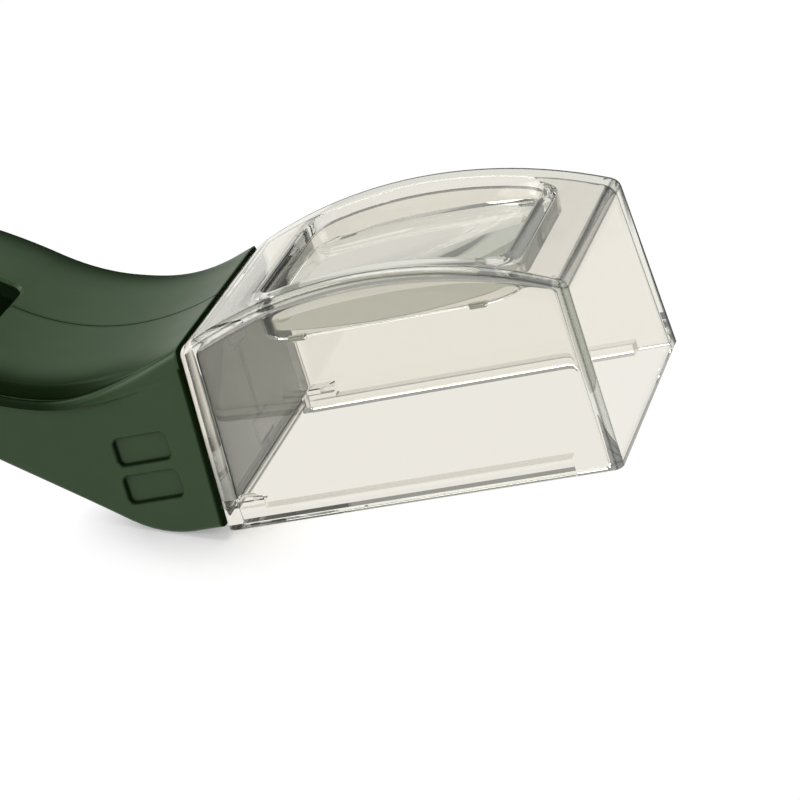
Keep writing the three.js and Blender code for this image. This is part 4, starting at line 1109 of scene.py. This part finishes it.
def clear_plastic(name, face, haze=0.0, ripple=0.004, with_painted_edges=False):
    """Clear plastic with a faint ripple. Light passes to the floor, and turns grey-green if it
    stays in for long. With painted edges, its marks paint dark shade and pale light on it."""
    made, g = material(name)
    wave = g.noise(60, 2)
    tint = face
    if with_painted_edges:
        # Painted shade on the marked edges: darker up to 1
        mark = g.mark("edge")
        tint = g.blend(mark.at_most(1.0), face, PAINTED_EDGE_SHADE)
    glass = g.node("BsdfPrincipled", {
        "Base Color": tint,
        "Roughness": wave * haze,
        "IOR": PLASTIC_IOR,
        "Transmission Weight": 1.0,
        "Normal": g.bump(wave, ripple * MM),
    })
    if with_painted_edges:
        # A painted dark line above 1, and painted light below 0
        glass = g.mixed((mark - 1.0).at_least(0.0), glass, g.diffuse(PAINTED_LINE_SHADE))
        glass = g.mixed((mark * -1.0).at_least(0.0), glass, g.diffuse(PAINTED_LIGHT_TINT))
    lit_through = g.node("BsdfTransparent", {"Color": face})
    trapped = g.node("BsdfTransparent", {"Color": TRAPPED_TINT})
    depth = g.node("LightPath", output="Ray Depth")
    body = g.mixed(depth.math("GREATER_THAN", DEEPEST_BEND), glass, trapped)
    g.surface(g.mixed(g.rays("Shadow"), body, lit_through))
    return made


def brushed_steel(name, colour, rough):
    made, g = material(name)
    streak = g.noise(1500, 3)
    g.surface(g.node("BsdfPrincipled", {
        "Base Color": g.blend(streak, colour, tuple(0.8 * c for c in colour[:3]) + (1.0,)),
        "Roughness": streak * 0.15 + rough,
        "Metallic": 1.0,
        "Normal": g.bump(streak, STREAK * MM),
    }))
    return made


def dress(made, *objects):
    """Puts a material on new pieces, or on CAD nodes' own slots."""
    for obj in objects:
        if not obj.material_slots:
            obj.data.materials.append(made)
        for entry in obj.material_slots:
            entry.link = "OBJECT"
            entry.material = made


def dress_pieces(shells, button, cups, chamber, lens, clear_bits, door):
    green = moulded_plastic(
        "green_plastic", srgb(43, 65, 36), srgb(52, 75, 46), 0.36, shine=0.3, with_painted_shade=True
    )
    pad = moulded_plastic("pad_plastic", srgb(33, 50, 28), srgb(42, 60, 37), 0.45)
    inner = moulded_plastic("inner_plastic", srgb(14, 20, 13), srgb(20, 27, 19), 0.55)
    clear = clear_plastic("clear_plastic", (0.95, 0.935, 0.895, 1.0), with_painted_edges=True)
    optic = clear_plastic("lens_plastic", (0.95, 0.955, 0.92, 1.0), ripple=0.0)
    film = clear_plastic("door_film", (0.88, 0.89, 0.86, 1.0), haze=0.15)
    zinc = brushed_steel("zinc_plated_steel", srgb(190, 192, 196), 0.28)
    spring = brushed_steel("spring_steel", srgb(176, 178, 182), 0.2)
    nodes = frame["nodes"]
    dress(green, *shells, cups)
    dress(pad, button)
    dress(optic, lens)
    dress(clear, chamber, nodes["door_lip"], *clear_bits)
    dress(film, *door)
    dress(inner, nodes["slider_carriage"], nodes["sheet_clamp"])
    dress(spring, nodes["detent_leaf"])
    dress(zinc, *[obj for name, obj in nodes.items() if "screw" in name])


# Camera, worked out for the 800 pixel square photograph, in the tool's frame
EYE = (222.5, -473.3, 207.4)
EYE_RIGHT, EYE_UP = (0.9222, 0.2551, -0.2905), (0.1582, 0.4367, 0.8857)


def make_camera():
    right, up = Vector(EYE_RIGHT), Vector(EYE_UP)
    right.normalize()
    back = right.cross(up).normalized()
    up = back.cross(right)
    camera = link("camera", bpy.data.cameras.new("camera"))
    camera.data.lens, camera.data.sensor_width = 135, 36
    camera.data.clip_start, camera.data.clip_end = 0.01, 20
    turn = Matrix([TURN @ v for v in (right, up, back)]).transposed()
    camera.matrix_world = Matrix.Translation(place(EYE)) @ turn.to_4x4()
    bpy.context.scene.camera = camera


# Stage
WHITE = (1.0, 1.0, 1.0, 1.0)
# The world's strength as light, through the plastic and in reflections
WORLD_LIGHT, WORLD_BENT, WORLD_MIRRORED = 0.2, 0.33, 0.4
# The paper's own glow, what it returns of the light, its look through the plastic, how much
# stronger that is in reflections, and its colour as a source of light
FLOOR_GLOW, FLOOR_LIT, FLOOR_BENT, FLOOR_MIRRORED = 0.3, 0.68, (0.87, 0.855, 0.82, 1.0), 1.15
FLOOR_WHITE, FLOOR_BOUNCE = 1.02, (0.8, 0.8, 0.79, 1.0)
LIT_POINT = (0, 0, 0.02)
# Where the belly's shadow is, and the distances in metres that it reaches and fades over
SHADOW_POINT, SHADOW_REACH, SHADOW_FADE = (-6, -24, 0), 0.01, 0.014


def mirrored_rays(g):
    """1 for mirrored rays only, as bent ones count as glossy too."""
    return (g.rays("Glossy") - g.rays("Transmission")).at_least(0.0)


def make_world():
    world = bpy.data.worlds.new("studio")
    world.use_nodes = True
    bpy.context.scene.world = world
    g = Graph(world.node_tree)
    strength = g.rays("Camera") * (1.0 - WORLD_LIGHT)
    strength += g.rays("Transmission") * (WORLD_BENT - WORLD_LIGHT)
    strength = strength + mirrored_rays(g) * (WORLD_MIRRORED - WORLD_LIGHT) + WORLD_LIGHT
    g.surface(g.node("Background", {"Color": WHITE, "Strength": strength}), "World")


def stage_plane(name, half):
    mesh = bpy.data.meshes.new(name)
    corners = [(-half, -half, 0), (half, -half, 0), (half, half, 0), (-half, half, 0)]
    mesh.from_pydata(corners, [], [(0, 1, 2, 3)])
    plane = link(name, mesh)
    return plane


def make_floor():
    """White paper with a shadow only near the belly, and none for bent and mirrored rays."""
    made, g = material("floor_paper")
    lit = g.diffuse((FLOOR_LIT, FLOOR_LIT, FLOOR_LIT, 1.0))
    paper = g.node("AddShader", {0: lit, 1: g.glow(WHITE, FLOOR_GLOW)})
    white = g.glow(WHITE, FLOOR_WHITE)
    even = g.glow(FLOOR_BENT, mirrored_rays(g) * (FLOOR_MIRRORED - 1) + 1.0)
    places = {0: g.place_on(), 1: place(SHADOW_POINT)}
    away = g.node("VectorMath", places, "Value", operation="DISTANCE")
    far = (away * (1 / SHADOW_FADE) + -SHADOW_REACH / SHADOW_FADE).at_least(0.0).at_most(1.0)
    picture = g.mixed(g.rays("Camera"), even, g.mixed(far, paper, white))
    in_picture = (g.rays("Camera") + g.rays("Glossy") + g.rays("Transmission")).at_most(1.0)
    g.surface(g.mixed(in_picture, g.diffuse(FLOOR_BOUNCE), picture))
    dress(made, stage_plane("floor", 3))


def make_dark_side():
    """A black cloth behind the camera, for reflections and the clear plastic only."""
    cloth = stage_plane("dark_side", 0.45)
    eye = bpy.context.scene.camera.matrix_world
    aim(cloth, eye.translation + eye.to_3x3() @ Vector((0, 0, 0.5)), eye.translation)
    made, g = material("black_cloth")
    g.surface(g.diffuse((0.01, 0.01, 0.01, 1.0)))
    dress(made, cloth)
    cloth.visible_camera = cloth.visible_diffuse = cloth.visible_shadow = False


def aim(obj, position, target):
    obj.location = Vector(position)
    obj.rotation_euler = (Vector(target) - Vector(position)).to_track_quat("-Z", "Y").to_euler()


def add_light(name, position, size, power):
    data = bpy.data.lights.new(name, "AREA")
    data.shape, data.size, data.energy = "DISK", size, power
    lamp = link(name, data)
    aim(lamp, position, LIT_POINT)
    lamp.visible_camera = lamp.visible_transmission = False


def make_lights():
    add_light("overhead", (-0.35, 0.15, 1.05), 0.9, 9)
    add_light("left_front", (-0.95, -0.85, 0.5), 0.7, 7)
    add_light("right_front", (0.9, -0.7, 0.8), 0.7, 3)


bpy.context.scene.view_settings.view_transform = "Standard"
make_camera()
make_world()
make_floor()
make_dark_side()
make_lights()
chamber = make_chamber()
lens = make_lens()
clear_bits = [make_lens_hooks(), make_anchor_lugs()]
shells = [make_shell(-1), make_shell(1)]
cups = make_screw_cups()
door = make_door()
button = make_button()
for piece in [chamber, lens, *clear_bits, *shells, cups]:
    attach(piece, "viewer")
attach(button, "thumb_slide")
dress_pieces(shells, button, cups, chamber, lens, clear_bits, door)
